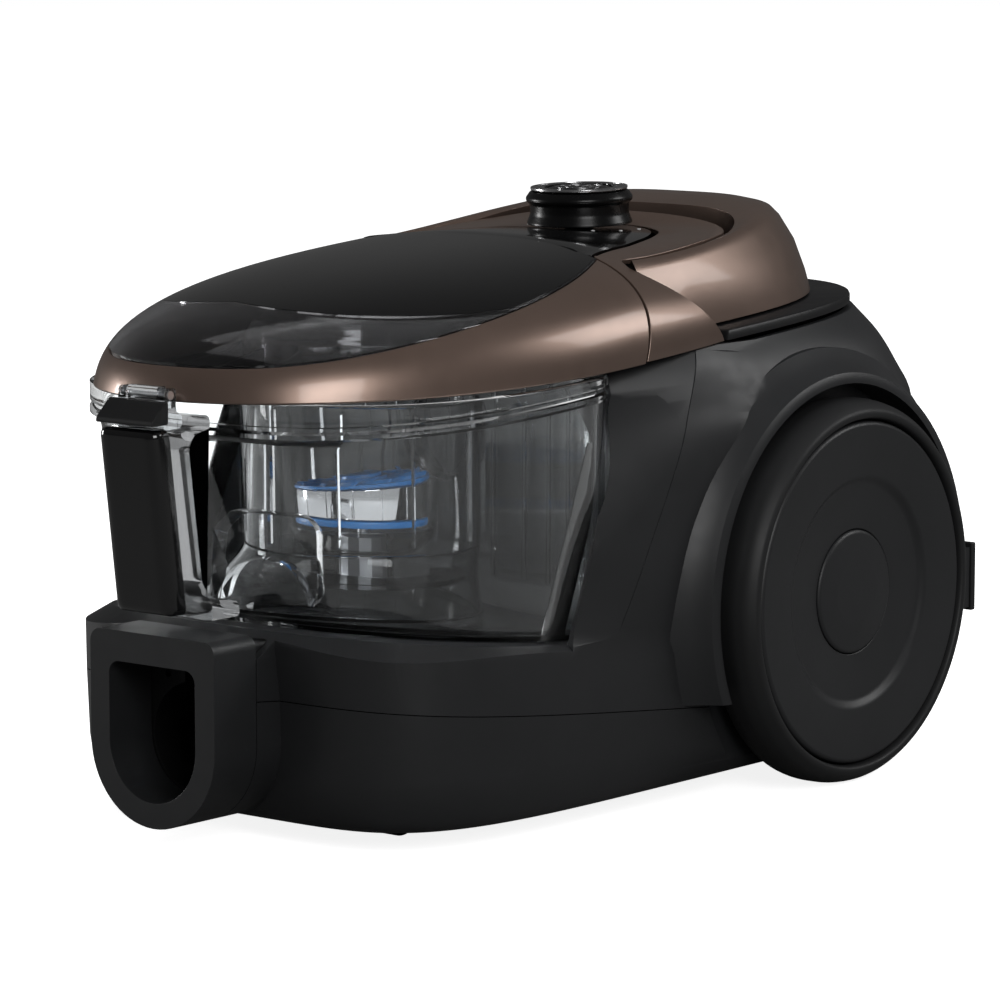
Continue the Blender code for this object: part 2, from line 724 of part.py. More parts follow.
def rear_cover():
    """The bronze piece behind the lid: two side strips that meet behind the control panel."""
    inner = [(0.0, 0.0), (0.0, 15.0), (0.0, 30.0), (0.0, 43.0), (0.0, 55.5), (5.0, 56.5), (9.0, 57.5),
    (20.0, 59.5),
             (35.0, 61.5), (48.0, 64.0), (66.0, 68.0), (84.0, 74.0), (93.0, 82.0), (95.0, 90.0)]
    outer = [(45.0, 0.0), (32.0, 15.0), (18.5, 30.5), (10.0, 43.0), (10.5, 48.0), (13.0, 51.0), (19.0, 51.3),
             (30.0, 50.8), (46.0, 50.1), (62.0, 49.6), (80.0, 50.1), (94.0, 53.5), (102.0, 65.0),
             (104.0, 90.0)]
    at_lid = 5
    rows = []
    sides = [(1.0, k) for k in range(len(outer))] + [(-1.0, k) for k in range(len(outer) - 2, -1, -1)]
    for side, k in sides:
        row = []
        for step in range(5):
            share = step / 4
            y = (outer[k][0] + (inner[k][0] - outer[k][0]) * share) * MM
            angle = radians(outer[k][1] + (inner[k][1] - outer[k][1]) * share)
            point = top_point(y, angle, side)
            if k < at_lid:
                point.y = outer[k][0] * MM * (1 - share) + (parting_y(point.z) + 0.8 * MM) * share
            point.z += (1 - share) * cover_lift(y, outer[k][1])
            row.append(point)
        rows.append(row)
    sheet("rear_cover", rows, 2.2 * MM, BRONZE)


PANEL_LINE = [(2.0, 57.0), (5.0, 58.0), (9.0, 59.0), (14.0, 60.0), (20.0, 61.0), (27.0, 62.0), (35.0, 63.0),
              (48.0, 65.8), (66.0, 69.8), (81.0, 75.5), (89.5, 83.5)]


def control_panel():
    rows = []
    for k, (y, degrees) in enumerate(PANEL_LINE):
        row = []
        for c in range(9):
            share = c / 8 * 2 - 1
            angle = radians(90 - (90 - degrees) * abs(share))
            point = top_point(y * MM, angle, 1.0 if share >= 0 else -1.0)
            if k == 0:
                point.y = parting_y(point.z) + 0.8 * MM
            row.append(point)
        rows.append(row)
    panel = sheet("control_panel", rows, 2.0 * MM, GLOSS)
    tilt = Matrix.Rotation(KNOB_TILT, 4, "X")
    hole = cylinder("knob_hole", 7.0 * MM, (0, 0, 0), 40 * MM, "Z", None, cutters, 20)
    hole.matrix_world = Matrix.Translation((0, KNOB_Y, 215 * MM)) @ tilt
    boolean(panel, hole)
    return panel


def bail_outline(half_w, start, rear, n, count=22):
    """A U in plan, from the right arm's front end round the back to the left arm's."""
    points = []
    for i in range(count + 1):
        turn = pi * i / count
        x = half_w * power(cos(turn), 2 / n)
        y = start + (rear - start) * power(sin(turn), 2 / n)
        points.append((x, y))
    return points


def carry_handle():
    count = 22
    outer_low = bail_outline(87 * MM, 46 * MM, 171 * MM, 3.0, count)
    outer_mid = bail_outline(85.5 * MM, 38 * MM, 170 * MM, 3.0, count)
    outer_top = bail_outline(80 * MM, 13 * MM, 161 * MM, 3.0, count)
    crown_top = bail_outline(76 * MM, 15 * MM, 146 * MM, 3.2, count)
    inner_top = bail_outline(71.5 * MM, 18 * MM, 119 * MM, 4.0, count)
    inner_low = bail_outline(72 * MM, 44 * MM, 124 * MM, 4.0, count)
    rings = []
    for k in range(count + 1):
        arch = sin(pi * k / count)
        lows = rim_z(outer_low[k][1]) + 1.2 * MM
        ring = [
            (*outer_low[k], lows),
            (*outer_mid[k], lows + 9 * MM),
            (*outer_top[k], (216 + 17 * arch) * MM),
            (*crown_top[k], (220 + 18 * arch) * MM),
            (*inner_top[k], (218 + 17 * arch) * MM),
            (*inner_low[k], rim_z(inner_low[k][1]) + 8 * MM),
        ]
        rings.append(ring)
    handle = loft("carry_handle", rings, BRONZE)
    for side in (1, -1):
        start = (min(side * 68, side * 78) * MM, HANDLE_PIVOT.y, HANDLE_PIVOT.z)
        bore = cylinder(f"handle_bore_{side}", HANDLE_PIN_R + GAP, start, 10 * MM, "X", None, cutters, 16)
        boolean(handle, bore)
    return handle


def rear_tray():
    """The black ledge behind the cover: it closes the body and holds the handle's pins."""
    plan = outline(97.5 * MM, 50 * MM, 47.5 * MM, 183 * MM, 6.0, 3.5, 28)
    inset = outline(95 * MM, 52 * MM, 49.5 * MM, 180 * MM, 6.0, 3.5, 28)
    tray = loft(
        "rear_tray",
        [ring_at(plan, lambda y: rim_z(y) - 4.2 * MM), ring_at(plan, lambda y: rim_z(y) - 1 * MM),
        ring_at(inset, rim_z)],
        GLOSS)
    for side, sign in (("right", 1), ("left", -1)):
        low_x = min(sign * 62, sign * 67) * MM
        high_x = low_x + 5 * MM
        ear = box(f"tray_ear_{side}", (low_x, 24 * MM, 187 * MM), (high_x, 60 * MM, 191 * MM), None, cutters)
        post = box(
            f"tray_post_{side}", (low_x, 25 * MM, 188 * MM), (high_x, 35 * MM, 215 * MM), None, cutters)
        boolean(ear, post, "UNION")
        boolean(tray, ear, "UNION")
        start = (low_x - 1 * MM, HANDLE_PIVOT.y, HANDLE_PIVOT.z)
        hole = cylinder(f"ear_hole_{side}", HANDLE_PIN_R + GAP, start, 7 * MM, "X", None, cutters, 16)
        boolean(tray, hole)
        start = (min(sign * 62.5, sign * 76) * MM, HANDLE_PIVOT.y, HANDLE_PIVOT.z)
        cylinder(f"handle_pin_{side}", HANDLE_PIN_R, start, 13.5 * MM, "X", STEEL, parts, 12)
    hole = box(
        "rewind_hole", (-11.4 * MM, 99.6 * MM, 150 * MM), (11.4 * MM, 116.4 * MM, 230 * MM), None, cutters)
    boolean(tray, hole)
    shaft = cylinder("tray_knob_hole", 16 * MM, (0, 66 * MM, 170 * MM), 50 * MM, "Z", None, cutters, 20)
    boolean(tray, shaft)
    return tray


def knob():
    centre = Vector((0, KNOB_Y, KNOB_BASE_Z))
    tilt = Matrix.Translation(centre) @ Matrix.Rotation(KNOB_TILT, 4, "X")
    body = turned(
        "power_knob",
        [(20.6 * MM, 14.6 * MM), (22.6 * MM, 11.8 * MM), (22.4 * MM, 10.2 * MM), (21.0 * MM, 9.2 * MM),
        (20.8 * MM, 5 * MM),
         (22.2 * MM, 1.4 * MM), (22.2 * MM, 0.6 * MM), (6.0 * MM, 0.6 * MM), (6.0 * MM, -18 * MM),
         (3.2 * MM, -18 * MM),
         (3.2 * MM, 7.6 * MM), (14.4 * MM, 7.6 * MM), (14.4 * MM, 14.6 * MM)],
        (0, 0, 0), GLOSS, "Z", parts, 20)
    body.matrix_world = tilt
    ring = turned(
        "knob_ring",
        [(20.4 * MM, 16.2 * MM), (20.4 * MM, 15.0 * MM), (14.6 * MM, 15.0 * MM), (14.6 * MM, 16.2 * MM)],
        (0, 0, 0), SILVER, "Z", parts, 24)
    ring.matrix_world = tilt
    button = turned(
        "power_button",
        [(0.0, 16.0 * MM), (13.0 * MM, 15.6 * MM), (13.6 * MM, 14.8 * MM), (13.6 * MM, 10.2 * MM),
        (2.6 * MM, 10.2 * MM),
         (2.6 * MM, -20 * MM), (0.0, -20 * MM)],
        (0, 0, 0), GLOSS, "Z", parts, 24)
    button.matrix_world = tilt


# ---------------------------------------------------------------- cyclone
def cyclone():
    centre = (0, CYCLONE_Y, 0)
    wall = [
        (CYCLONE_R, 166 * MM), (CYCLONE_R, 106 * MM), (CYCLONE_R - 2 * MM, 106 * MM),
        (CYCLONE_R - 2 * MM, 166 * MM),
    ]
    turned("cyclone_wall", wall, centre, CLEAR, "Z", parts, 24)
    lower = []
    for lift, r, shift in ((26.5, CYCLONE_R / MM, 0), (18, 48.5, -3.5), (10, 53, -9), (5.0, 57, -14)):
        row = []
        for k in range(25):
            y = CYCLONE_Y + shift * MM + r * MM * sin(2 * pi * k / 24)
            z = 105.6 * MM if shift == 0 else ledge_z(y) + lift * MM
            row.append((r * MM * cos(2 * pi * k / 24), y, z))
        lower.append(row)
    sheet("cyclone_skirt", lower, 2 * MM, CLEAR, (0, CYCLONE_Y, 95 * MM))

    ramp = []
    for k in range(25):
        turn = radians(-150 + 300 * k / 24)
        z = (99 - 8 * k / 24) * MM
        ramp.append([(r * sin(turn), CYCLONE_Y - 2 * MM - r * cos(turn), z) for r in (29.5 * MM, 43.5 * MM)])
    sheet("spiral_ramp", ramp, 2 * MM, CLEAR, (0, CYCLONE_Y, 0))

    turned(
        "turbine_bowl",
        [(28.6 * MM, 114.5 * MM), (27.5 * MM, 110 * MM), (22 * MM, 104 * MM), (12 * MM, 100.5 * MM),
        (12 * MM, 88 * MM),
         (10 * MM, 88 * MM), (10 * MM, 102 * MM), (20.5 * MM, 105.6 * MM), (25.5 * MM, 111 * MM),
         (26.6 * MM, 114.5 * MM)],
        centre, CLEAR, "Z", parts, 18)
    turned("turbine_post",
           [(0.0, 121 * MM), (2.4 * MM, 121 * MM), (2.4 * MM, 109 * MM), (9.4 * MM, 109 * MM),
           (9.4 * MM, 87.4 * MM), (0.0, 87.4 * MM)],
           centre, STEEL, "Z", parts, 12)
    turned(
        "turbine_rotor",
        [(0.0, 139 * MM), (8 * MM, 139 * MM), (8 * MM, 134 * MM), (24 * MM, 134 * MM), (24 * MM, 119 * MM),
        (25.8 * MM, 118.6 * MM),
         (25.8 * MM, 115.6 * MM), (20 * MM, 115.6 * MM), (20 * MM, 130 * MM), (7 * MM, 131 * MM),
         (4.6 * MM, 129 * MM),
         (4.6 * MM, 122 * MM), (2.9 * MM, 122 * MM), (2.9 * MM, 130 * MM), (0.0, 130 * MM)],
        centre, BLUE, "Z", parts, 16)
    turned(
        "turbine_band",
        [(26.6 * MM, 133.6 * MM), (26.6 * MM, 119.4 * MM), (24.4 * MM, 119.4 * MM), (24.4 * MM, 133.6 * MM)],
        centre, CHROME, "Z", parts, 24)
    teeth = 12
    points = []
    for k in range(teeth):
        for part, r in ((0.0, 19.0), (0.75, 27.5), (0.8, 20.0)):
            turn = 2 * pi * (k + part) / teeth
            points.append((r * MM * cos(turn), r * MM * sin(turn)))
    blades = prism("turbine_blades", points, 134.4 * MM, 137.6 * MM, BLUE, "Z", parts, centre)
    clearance = cylinder("blade_bore", 8.5 * MM, (0, CYCLONE_Y, 120 * MM), 30 * MM, "Z", None, cutters, 24)
    boolean(blades, clearance)


# ---------------------------------------------------------------- bin handle and latch
GRIP_TOP = Vector((0.0, MACHINE_FRONT, 166.0 * MM))
GRIP_BOTTOM = Vector((0.0, -194.0 * MM, 94.0 * MM))
GRIP_HALF = 15.0 * MM


def side_profile(name, points, low, high, look, home=parts):
    """A side view of (y, z) points in millimetres, given depth along X."""
    made = prism(name, [(z * MM, y * MM) for y, z in points], low, high, look, "Z", home)
    swap_x_and_z = Matrix(((0, 0, 1, 0), (0, 1, 0, 0), (1, 0, 0, 0), (0, 0, 0, 1)))
    shape = bmesh.new()
    shape.from_mesh(made.data)
    bmesh.ops.transform(shape, matrix=swap_x_and_z, verts=shape.verts)
    bmesh.ops.recalc_face_normals(shape, faces=shape.faces)
    shape.to_mesh(made.data)
    shape.free()
    return made


def grip_row(depth, half):
    top = GRIP_TOP + Vector((0, depth, 0))
    bottom = GRIP_BOTTOM + Vector((0, depth, 0))
    return [(-half, top.y, top.z), (half, top.y, top.z), (half, bottom.y, bottom.z),
    (-half, bottom.y, bottom.z)]


def grip():
    """The upright grip on the bin's front: a gloss cover on a clear bracket that two arms join to the bin."""
    rows = [grip_row(0.0, GRIP_HALF - 3 * MM), grip_row(3.5 * MM, GRIP_HALF), grip_row(9 * MM, GRIP_HALF)]
    loft("grip_cover", rows, GLOSS)
    side = [
        (-193.6, 166.6), (-184.4, 94.0), (-170.0, 89.6), (-151.5, 89.6), (-153.0, 96.0), (-166.0, 97.5),
        (-173.0, 104.0),
        (-180.0, 158.0), (-176.0, 163.0), (-168.0, 163.0), (-168.0, 169.0), (-186.8, 171.0), (-186.8, 180.2),
        (-187.6, 181.0), (-192.0, 181.0), (-193.0, 180.0),
    ]
    half = 12 * MM
    bracket = side_profile("grip_bracket", side, -half, half, CLEAR)
    slot = box("hinge_slot", (-8 * MM, -195 * MM, 173 * MM), (8 * MM, -186 * MM, 183 * MM), None, cutters)
    boolean(bracket, slot)
    bore = cylinder(
        "hinge_bore", HINGE_PIN_R + GAP, (-half - 1 * MM, LID_HINGE.y, LID_HINGE.z), 2 * half + 2 * MM, "X",
        None, cutters, 16)
    boolean(bracket, bore)


def release_button():
    """The push pad on top of the bin's handle."""
    side = [(-203.0, 168.0), (-198.0, 168.8), (-193.8, 171.4), (-193.8, 174.8), (-197.0, 174.2),
    (-202.6, 170.8)]
    side_profile("release_button", side, -13 * MM, 13 * MM, DARK)


def hinge():
    """The lid turns on a pin at the front of the bin, above its handle."""
    length = 24 * MM
    start = (-length / 2, LID_HINGE.y, LID_HINGE.z)
    cylinder("lid_hinge_pin", HINGE_PIN_R, start, length, "X", STEEL, parts, 12)
    side = [(-192.4, 175.6), (-187.4, 175.6), (-187.4, 181.0), (-188.2, 181.6), (-191.6, 181.6),
    (-192.4, 181.0)]
    knuckle = side_profile("lid_hinge_knuckle", side, -7.6 * MM, 7.6 * MM, CLEAR)
    bore = cylinder(
        "knuckle_bore", HINGE_PIN_R + GAP, (-9 * MM, LID_HINGE.y, LID_HINGE.z), 18 * MM, "X", None, cutters,
        16)
    boolean(knuckle, bore)


# ---------------------------------------------------------------- motor, filters, reel, electrics
def motor():
    front = 36 * MM
    base = Vector((MOTOR_X, front, MOTOR_Z))
    turned(
        "motor_casing",
        [(MOTOR_R, 92 * MM), (MOTOR_R, 0.0), (20 * MM, 0.0), (20 * MM, 3 * MM), (MOTOR_R - 3 * MM, 3 * MM),
         (MOTOR_R - 3 * MM, 89 * MM), (16 * MM, 89 * MM), (16 * MM, 92 * MM)],
        base, DARK, "Y", parts, 20)
    turned(
        "motor_stator",
        [(MOTOR_R - 4.5 * MM, 74 * MM), (MOTOR_R - 4.5 * MM, 34 * MM), (19 * MM, 34 * MM),
        (19 * MM, 74 * MM)],
        base, STEEL, "Y", parts, 16)
    turned(
        "motor_rotor",
        [(0.0, 86 * MM), (3 * MM, 86 * MM), (3 * MM, 73 * MM), (17.5 * MM, 73 * MM), (17.5 * MM, 36 * MM),
        (4 * MM, 36 * MM),
         (4 * MM, 27 * MM), (40 * MM, 24 * MM), (40 * MM, 13 * MM), (36 * MM, 13 * MM), (8 * MM, 18 * MM),
         (5 * MM, 9 * MM),
         (0.0, 7 * MM)],
        base, STEEL, "Y", parts, 16)
    turned(
        "motor_mount_front",
        [(MOTOR_R - 8 * MM, -0.4 * MM), (MOTOR_R - 8 * MM, -7 * MM), (22 * MM, -7 * MM),
        (22 * MM, -0.4 * MM)],
        base, RUBBER, "Y", parts, 20)
    cradle = box(
        "motor_cradle", (MOTOR_X - 44 * MM, 56 * MM, 11.4 * MM), (MOTOR_X + 44 * MM, 108 * MM, 56 * MM), DARK)
    seat = cylinder(
        "cradle_seat", MOTOR_R + GAP, (MOTOR_X, 40 * MM, MOTOR_Z), 90 * MM, "Y", None, cutters, 28)
    under = box(
        "cradle_under", (MOTOR_X - 34 * MM, 40 * MM, 0), (MOTOR_X + 34 * MM, 120 * MM, 30 * MM), None,
        cutters)
    boolean(cradle, seat)
    boolean(cradle, under)


def filters():
    frame = box("inlet_filter_frame", (-40 * MM, -5.5 * MM, 112 * MM), (62 * MM, 14 * MM, 178 * MM), DARK)
    pocket = box(
        "filter_pocket", (-36 * MM, -1.5 * MM, 116 * MM), (58 * MM, 20 * MM, 174 * MM), None, cutters)
    window = cylinder("filter_window", 19 * MM, (0, -20 * MM, 148 * MM), 30 * MM, "Y", None, cutters, 24)
    boolean(frame, pocket)
    boolean(frame, window)
    box("inlet_filter", (-35.5 * MM, -1 * MM, 116.5 * MM), (57.5 * MM, 12 * MM, 173.5 * MM), FOAM)

    box("exhaust_filter", (-43 * MM, 168 * MM, 92 * MM), (43 * MM, 182 * MM, 148 * MM), PAPER)
    grille = box("exhaust_grille", (-45 * MM, 184.6 * MM, 90 * MM), (45 * MM, 194.6 * MM, 150 * MM), CHARCOAL)
    for k in range(7):
        low = (95 + 7.6 * k) * MM
        slot = box(
            f"grille_slot_{k}", (-40 * MM, 178 * MM, low), (40 * MM, 204 * MM, low + 4.4 * MM), None, cutters)
        boolean(grille, slot)


def reel():
    base = (REEL_X, REEL_Y, REEL_Z)
    turned(
        "cord_reel",
        [(56 * MM, 20 * MM), (56 * MM, 17 * MM), (30 * MM, 17 * MM), (30 * MM, -17 * MM),
        (56 * MM, -17 * MM), (56 * MM, -20 * MM),
         (9 * MM, -20 * MM), (9 * MM, 20 * MM)],
        base, DARK, "X", parts, 24)
    cylinder("reel_axle", 8.4 * MM, (REEL_X - 26 * MM, REEL_Y, REEL_Z), 50 * MM, "X", STEEL, parts, 18)
    turned(
        "cord_gland",
        [(11 * MM, 8 * MM), (11 * MM, 5.4 * MM), (7 * MM, 5.4 * MM), (7 * MM, -8 * MM), (4 * MM, -8 * MM),
        (4 * MM, 8 * MM)],
        (-68 * MM, 190 * MM, 70 * MM), DARK, "Y", parts, 14)


def electrics():
    box("control_board", (-34 * MM, 46 * MM, 197.4 * MM), (34 * MM, 95 * MM, 199 * MM), BOARD)
    pot = box("speed_potentiometer", (-11 * MM, 64 * MM, 199.4 * MM), (11 * MM, 86 * MM, 207 * MM), DARK)
    well = cylinder("pot_well", 7 * MM, (0, KNOB_Y, 202 * MM), 20 * MM, "Z", None, cutters, 16)
    boolean(pot, well)
    box("rewind_button", (-11 * MM, 100 * MM, 186 * MM), (11 * MM, 116 * MM, 203 * MM), GLOSS, parts, 1 * MM)


def feet():
    width = 16 * MM
    for side, sign in (("right", 1), ("left", -1)):
        low = (min(sign * 101, sign * 117) * MM, 199.9 * MM, 59 * MM)
        high = (low[0] + width, MACHINE_REAR, 88.6 * MM)
        box(f"rear_foot_{side}", low, high, RUBBER, parts, 0.8 * MM)


def hang(name, pivot, pieces):
    """Parents pieces to an empty that lies on their joint's axis."""
    empty = bpy.data.objects.new(name, None)
    empty.location = pivot
    parts.objects.link(empty)
    bpy.context.view_layer.update()
    for piece in pieces:
        made = bpy.data.objects[piece]
        made.parent = empty
        made.matrix_parent_inverse = empty.matrix_world.inverted()


base_pan()
upper_housing()
inlet()
inlet_duct()
for side, sign in (("right", 1), ("left", -1)):
    wheel(side, sign)
    caster(side, sign)
bin_wall()
lid()
rear_cover()
control_panel()
carry_handle()
rear_tray()
knob()
cyclone()
grip()
release_button()
motor()
filters()
reel()
electrics()
feet()
hinge()

hang("bin_lift_pivot", (0, CYCLONE_Y, 0), [
    "bin_shell", "cyclone_wall", "cyclone_skirt", "spiral_ramp", "turbine_bowl", "turbine_post",
    "grip_cover", "grip_bracket", "lid_hinge_pin",
])
hang("lid_pivot", LID_HINGE, ["lid_ring", "lid_window", "lid_dome", "lid_hinge_knuckle"])
hang("handle_pivot", HANDLE_PIVOT, ["carry_handle"])
hang("release_pivot", LID_HINGE, ["release_button"])
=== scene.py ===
"""Looks of the canister vacuum cleaner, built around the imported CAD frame.

Every piece is in metres in the frame of the CAD model: the hose inlet faces -Y and +Z is up.
Tables of outline points, levels and bevels are in millimetres.
"""
import json
from math import cos, pi, radians, sin

import bmesh
import bpy
from mathutils import Matrix, Vector


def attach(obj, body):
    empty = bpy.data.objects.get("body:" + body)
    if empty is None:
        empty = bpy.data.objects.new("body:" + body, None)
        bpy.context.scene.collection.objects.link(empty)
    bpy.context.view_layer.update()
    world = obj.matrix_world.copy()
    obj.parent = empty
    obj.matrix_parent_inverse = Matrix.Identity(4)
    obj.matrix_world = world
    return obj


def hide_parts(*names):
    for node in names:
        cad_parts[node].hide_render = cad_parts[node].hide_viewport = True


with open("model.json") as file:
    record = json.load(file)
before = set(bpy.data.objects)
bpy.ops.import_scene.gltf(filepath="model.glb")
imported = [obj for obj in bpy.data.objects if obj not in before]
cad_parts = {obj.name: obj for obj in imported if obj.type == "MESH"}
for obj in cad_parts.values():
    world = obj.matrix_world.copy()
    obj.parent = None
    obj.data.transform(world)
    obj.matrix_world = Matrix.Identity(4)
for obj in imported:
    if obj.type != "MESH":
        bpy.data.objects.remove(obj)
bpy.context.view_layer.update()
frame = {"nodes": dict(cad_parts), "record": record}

MM = 0.001
# millimetres left between pieces that meet
GAP = 0.4
scene = bpy.context.scene


def mm(*values):
    """Millimetres made metres."""
    return tuple(value * MM for value in values)


# ---- materials
def new_material(name):
    made = bpy.data.materials.new(name)
    made.use_nodes = True
    tree = made.node_tree
    return made, tree, tree.nodes["Principled BSDF"]


def connect(tree, node, inputs):
    """Fills a node's inputs: a socket is linked, and any other value is set."""
    for key, value in inputs.items():
        if isinstance(value, bpy.types.NodeSocket):
            tree.links.new(value, node.inputs[key])
        else:
            node.inputs[key].default_value = value


def add_node(tree, kind, inputs=None, **settings):
    node = tree.nodes.new(kind)
    for key, value in settings.items():
        setattr(node, key, value)
    connect(tree, node, inputs or {})
    return node


def noise(tree, size, detail=3.0):
    """Noise in object space, whose features are about size metres across."""
    coords = add_node(tree, "ShaderNodeTexCoord")
    made = add_node(tree, "ShaderNodeTexNoise", {
        "Scale": 1.0 / size, "Detail": detail, "Vector": coords.outputs["Object"]})
    return made.outputs["Fac"]


def spread(tree, source, low, high):
    """Maps a noise value onto a range of numbers."""
    made = add_node(tree, "ShaderNodeMapRange", {
        "Value": source, "From Min": 0.3, "From Max": 0.7, "To Min": low, "To Max": high})
    return made.outputs["Result"]


def two_tone(tree, source, dark, light):
    """Maps a noise value onto a run between two colours."""
    ramp = add_node(tree, "ShaderNodeValToRGB", {"Fac": source})
    for stop, place_on, colour in zip(ramp.color_ramp.elements, (0.3, 0.7), (dark, light)):
        stop.position = place_on
        stop.color = (*colour, 1.0)
    return ramp.outputs["Color"]


def moulded(
        name, dark, light, rough, grain=0.35 * MM, depth=0.00002, metallic=0.0, coat=0.0, smudge=0.05,
        shine=0.5):
    """Moulded or painted plastic: faint colour drift, uneven gloss and a fine grain."""
    made, tree, shader = new_material(name)
    connect(tree, shader, {
        "Base Color": two_tone(tree, noise(tree, 40 * MM, 4.0), dark, light),
        "Roughness": spread(tree, noise(tree, 9 * MM, 5.0), rough - smudge / 2, rough + smudge / 2),
        "Metallic": metallic, "Specular IOR Level": shine, "Coat Weight": coat, "Coat Roughness": 0.08})
    if depth:
        height = noise(tree, grain, 2.0)
        bump = add_node(tree, "ShaderNodeBump", {"Strength": 0.35, "Distance": depth, "Height": height})
        connect(tree, shader, {"Normal": bump.outputs["Normal"]})
    return made


def see_through(name, tint, rough=0.02, ior=1.4):
    """Clear plastic that lets lamps through, with faint flow lines in its gloss."""
    made, tree, shader = new_material(name)
    connect(tree, shader, {
        "Base Color": (*tint, 1.0), "Transmission Weight": 1.0, "IOR": ior,
        "Roughness": spread(tree, noise(tree, 25 * MM), rough, rough + 0.03)})
    open_way = add_node(tree, "ShaderNodeBsdfTransparent", {"Color": (*[c ** 0.5 for c in tint], 1.0)})
    mix = add_node(tree, "ShaderNodeMixShader", {
        "Fac": add_node(tree, "ShaderNodeLightPath").outputs["Is Shadow Ray"],
        1: shader.outputs["BSDF"], 2: open_way.outputs["BSDF"]})
    tree.links.new(mix.outputs["Shader"], tree.nodes["Material Output"].inputs["Surface"])
    return made


CHARCOAL = moulded(
    "charcoal_moulding", (0.0135, 0.014, 0.015), (0.0165, 0.017, 0.0182), 0.42, 0.5 * MM, 0.00004, shine=0.45)
DARK = moulded("dark_moulding", (0.006, 0.006, 0.0065), (0.008, 0.008, 0.0085), 0.4, shine=0.4)
GLOSS = moulded(
    "piano_black", (0.0022, 0.0022, 0.0024), (0.003, 0.003, 0.0032), 0.09, depth=0.0, coat=0.6, smudge=0.03)
BRONZE = moulded(
    "bronze_metallic", (0.225, 0.160, 0.130), (0.250, 0.178, 0.146), 0.33, 0.12 * MM, 0.000008, 0.8, 0.35, 0.04)
SILVER = moulded("brushed_silver", (0.62, 0.62, 0.63), (0.70, 0.70, 0.71), 0.24, 0.2 * MM, 0.00001, 1.0)
CHROME = moulded(
    "polished_chrome", (0.78, 0.78, 0.79), (0.84, 0.84, 0.85), 0.07, depth=0.0, metallic=1.0, smudge=0.02)
STEEL = moulded("machined_steel", (0.42, 0.42, 0.43), (0.50, 0.50, 0.51), 0.34, 0.3 * MM, 0.00001, 1.0)
BLUE = moulded("blue_plastic", (0.0, 0.110, 0.330), (0.0, 0.140, 0.400), 0.3, coat=0.1)
SATIN = moulded(
    "satin_black", (0.0028, 0.0028, 0.003), (0.0038, 0.0038, 0.004), 0.27, 0.3 * MM, 0.00001, shine=0.3)
RUBBER = moulded(
    "tyre_rubber", (0.010, 0.0102, 0.0107), (0.013, 0.0133, 0.014), 0.5, 0.6 * MM, 0.00005, shine=0.35)
FOAM = moulded("filter_foam", (0.02, 0.02, 0.022), (0.05, 0.05, 0.055), 0.95, 1.2 * MM, 0.0006)
PAPER = moulded("filter_paper", (0.60, 0.59, 0.55), (0.70, 0.69, 0.65), 0.9, 1.0 * MM, 0.0002)
BOARD = moulded("solder_mask", (0.010, 0.060, 0.025), (0.014, 0.085, 0.035), 0.4)
WHITE_INK = moulded("white_ink", (0.62, 0.62, 0.62), (0.70, 0.70, 0.70), 0.4, depth=0.0)
STRIPE = moulded(
    "black_mask", (0.003, 0.003, 0.003), (0.005, 0.005, 0.005), 0.12, depth=0.0, coat=0.4, smudge=0.03)
CLEAR = see_through("clear_plastic", (0.93, 0.945, 0.95))
CLEAR_INNER = see_through("clear_inner_plastic", (0.93, 0.94, 0.95), 0.015, 1.3)
BRACKET = see_through("clear_bracket_plastic", (0.42, 0.43, 0.44), 0.03, 1.35)
SMOKE = see_through("smoked_plastic", (0.30, 0.30, 0.31), 0.03)

LOOKS = {
    "charcoal_plastic": CHARCOAL, "dark_plastic": DARK, "gloss_black": GLOSS, "bronze_paint": BRONZE,
    "silver_trim": SILVER, "clear_plastic": CLEAR, "smoked_plastic": SMOKE, "blue_plastic": BLUE,
    "chrome": CHROME, "rubber": RUBBER, "steel": STEEL, "filter_foam": FOAM, "filter_paper": PAPER,
    "circuit_board": BOARD,
}
SLOT_OF = {row["node"]: row["material_slot"] for row in frame["record"]["subparts"]}


# ---- mesh helpers
def as_object(shape, name):
    mesh = bpy.data.meshes.new(name)
    shape.to_mesh(mesh)
    shape.free()
    made = bpy.data.objects.new(name, mesh)
    scene.collection.objects.link(made)
    return made


def place(shape, name):
    """A mesh object from a bmesh, for shaping; settle() makes it a finished piece."""
    bmesh.ops.remove_doubles(shape, verts=shape.verts, dist=0.000002)
    bmesh.ops.recalc_face_normals(shape, faces=shape.faces)
    return as_object(shape, name)


def apply_modifiers(piece):
    bpy.context.view_layer.update()
    ready = piece.evaluated_get(bpy.context.evaluated_depsgraph_get())
    mesh = bpy.data.meshes.new_from_object(ready)
    piece.modifiers.clear()
    old = piece.data
    piece.data = mesh
    bpy.data.meshes.remove(old)


def combine(piece, tools, operation="DIFFERENCE", solver="MANIFOLD"):
    """Cuts or joins closed meshes, and removes the tools."""
    for tool in tools:
        step = piece.modifiers.new("step", "BOOLEAN")
        step.operation = operation
        step.solver = solver
        step.object = tool
        apply_modifiers(piece)
        bpy.data.objects.remove(tool, do_unlink=True)


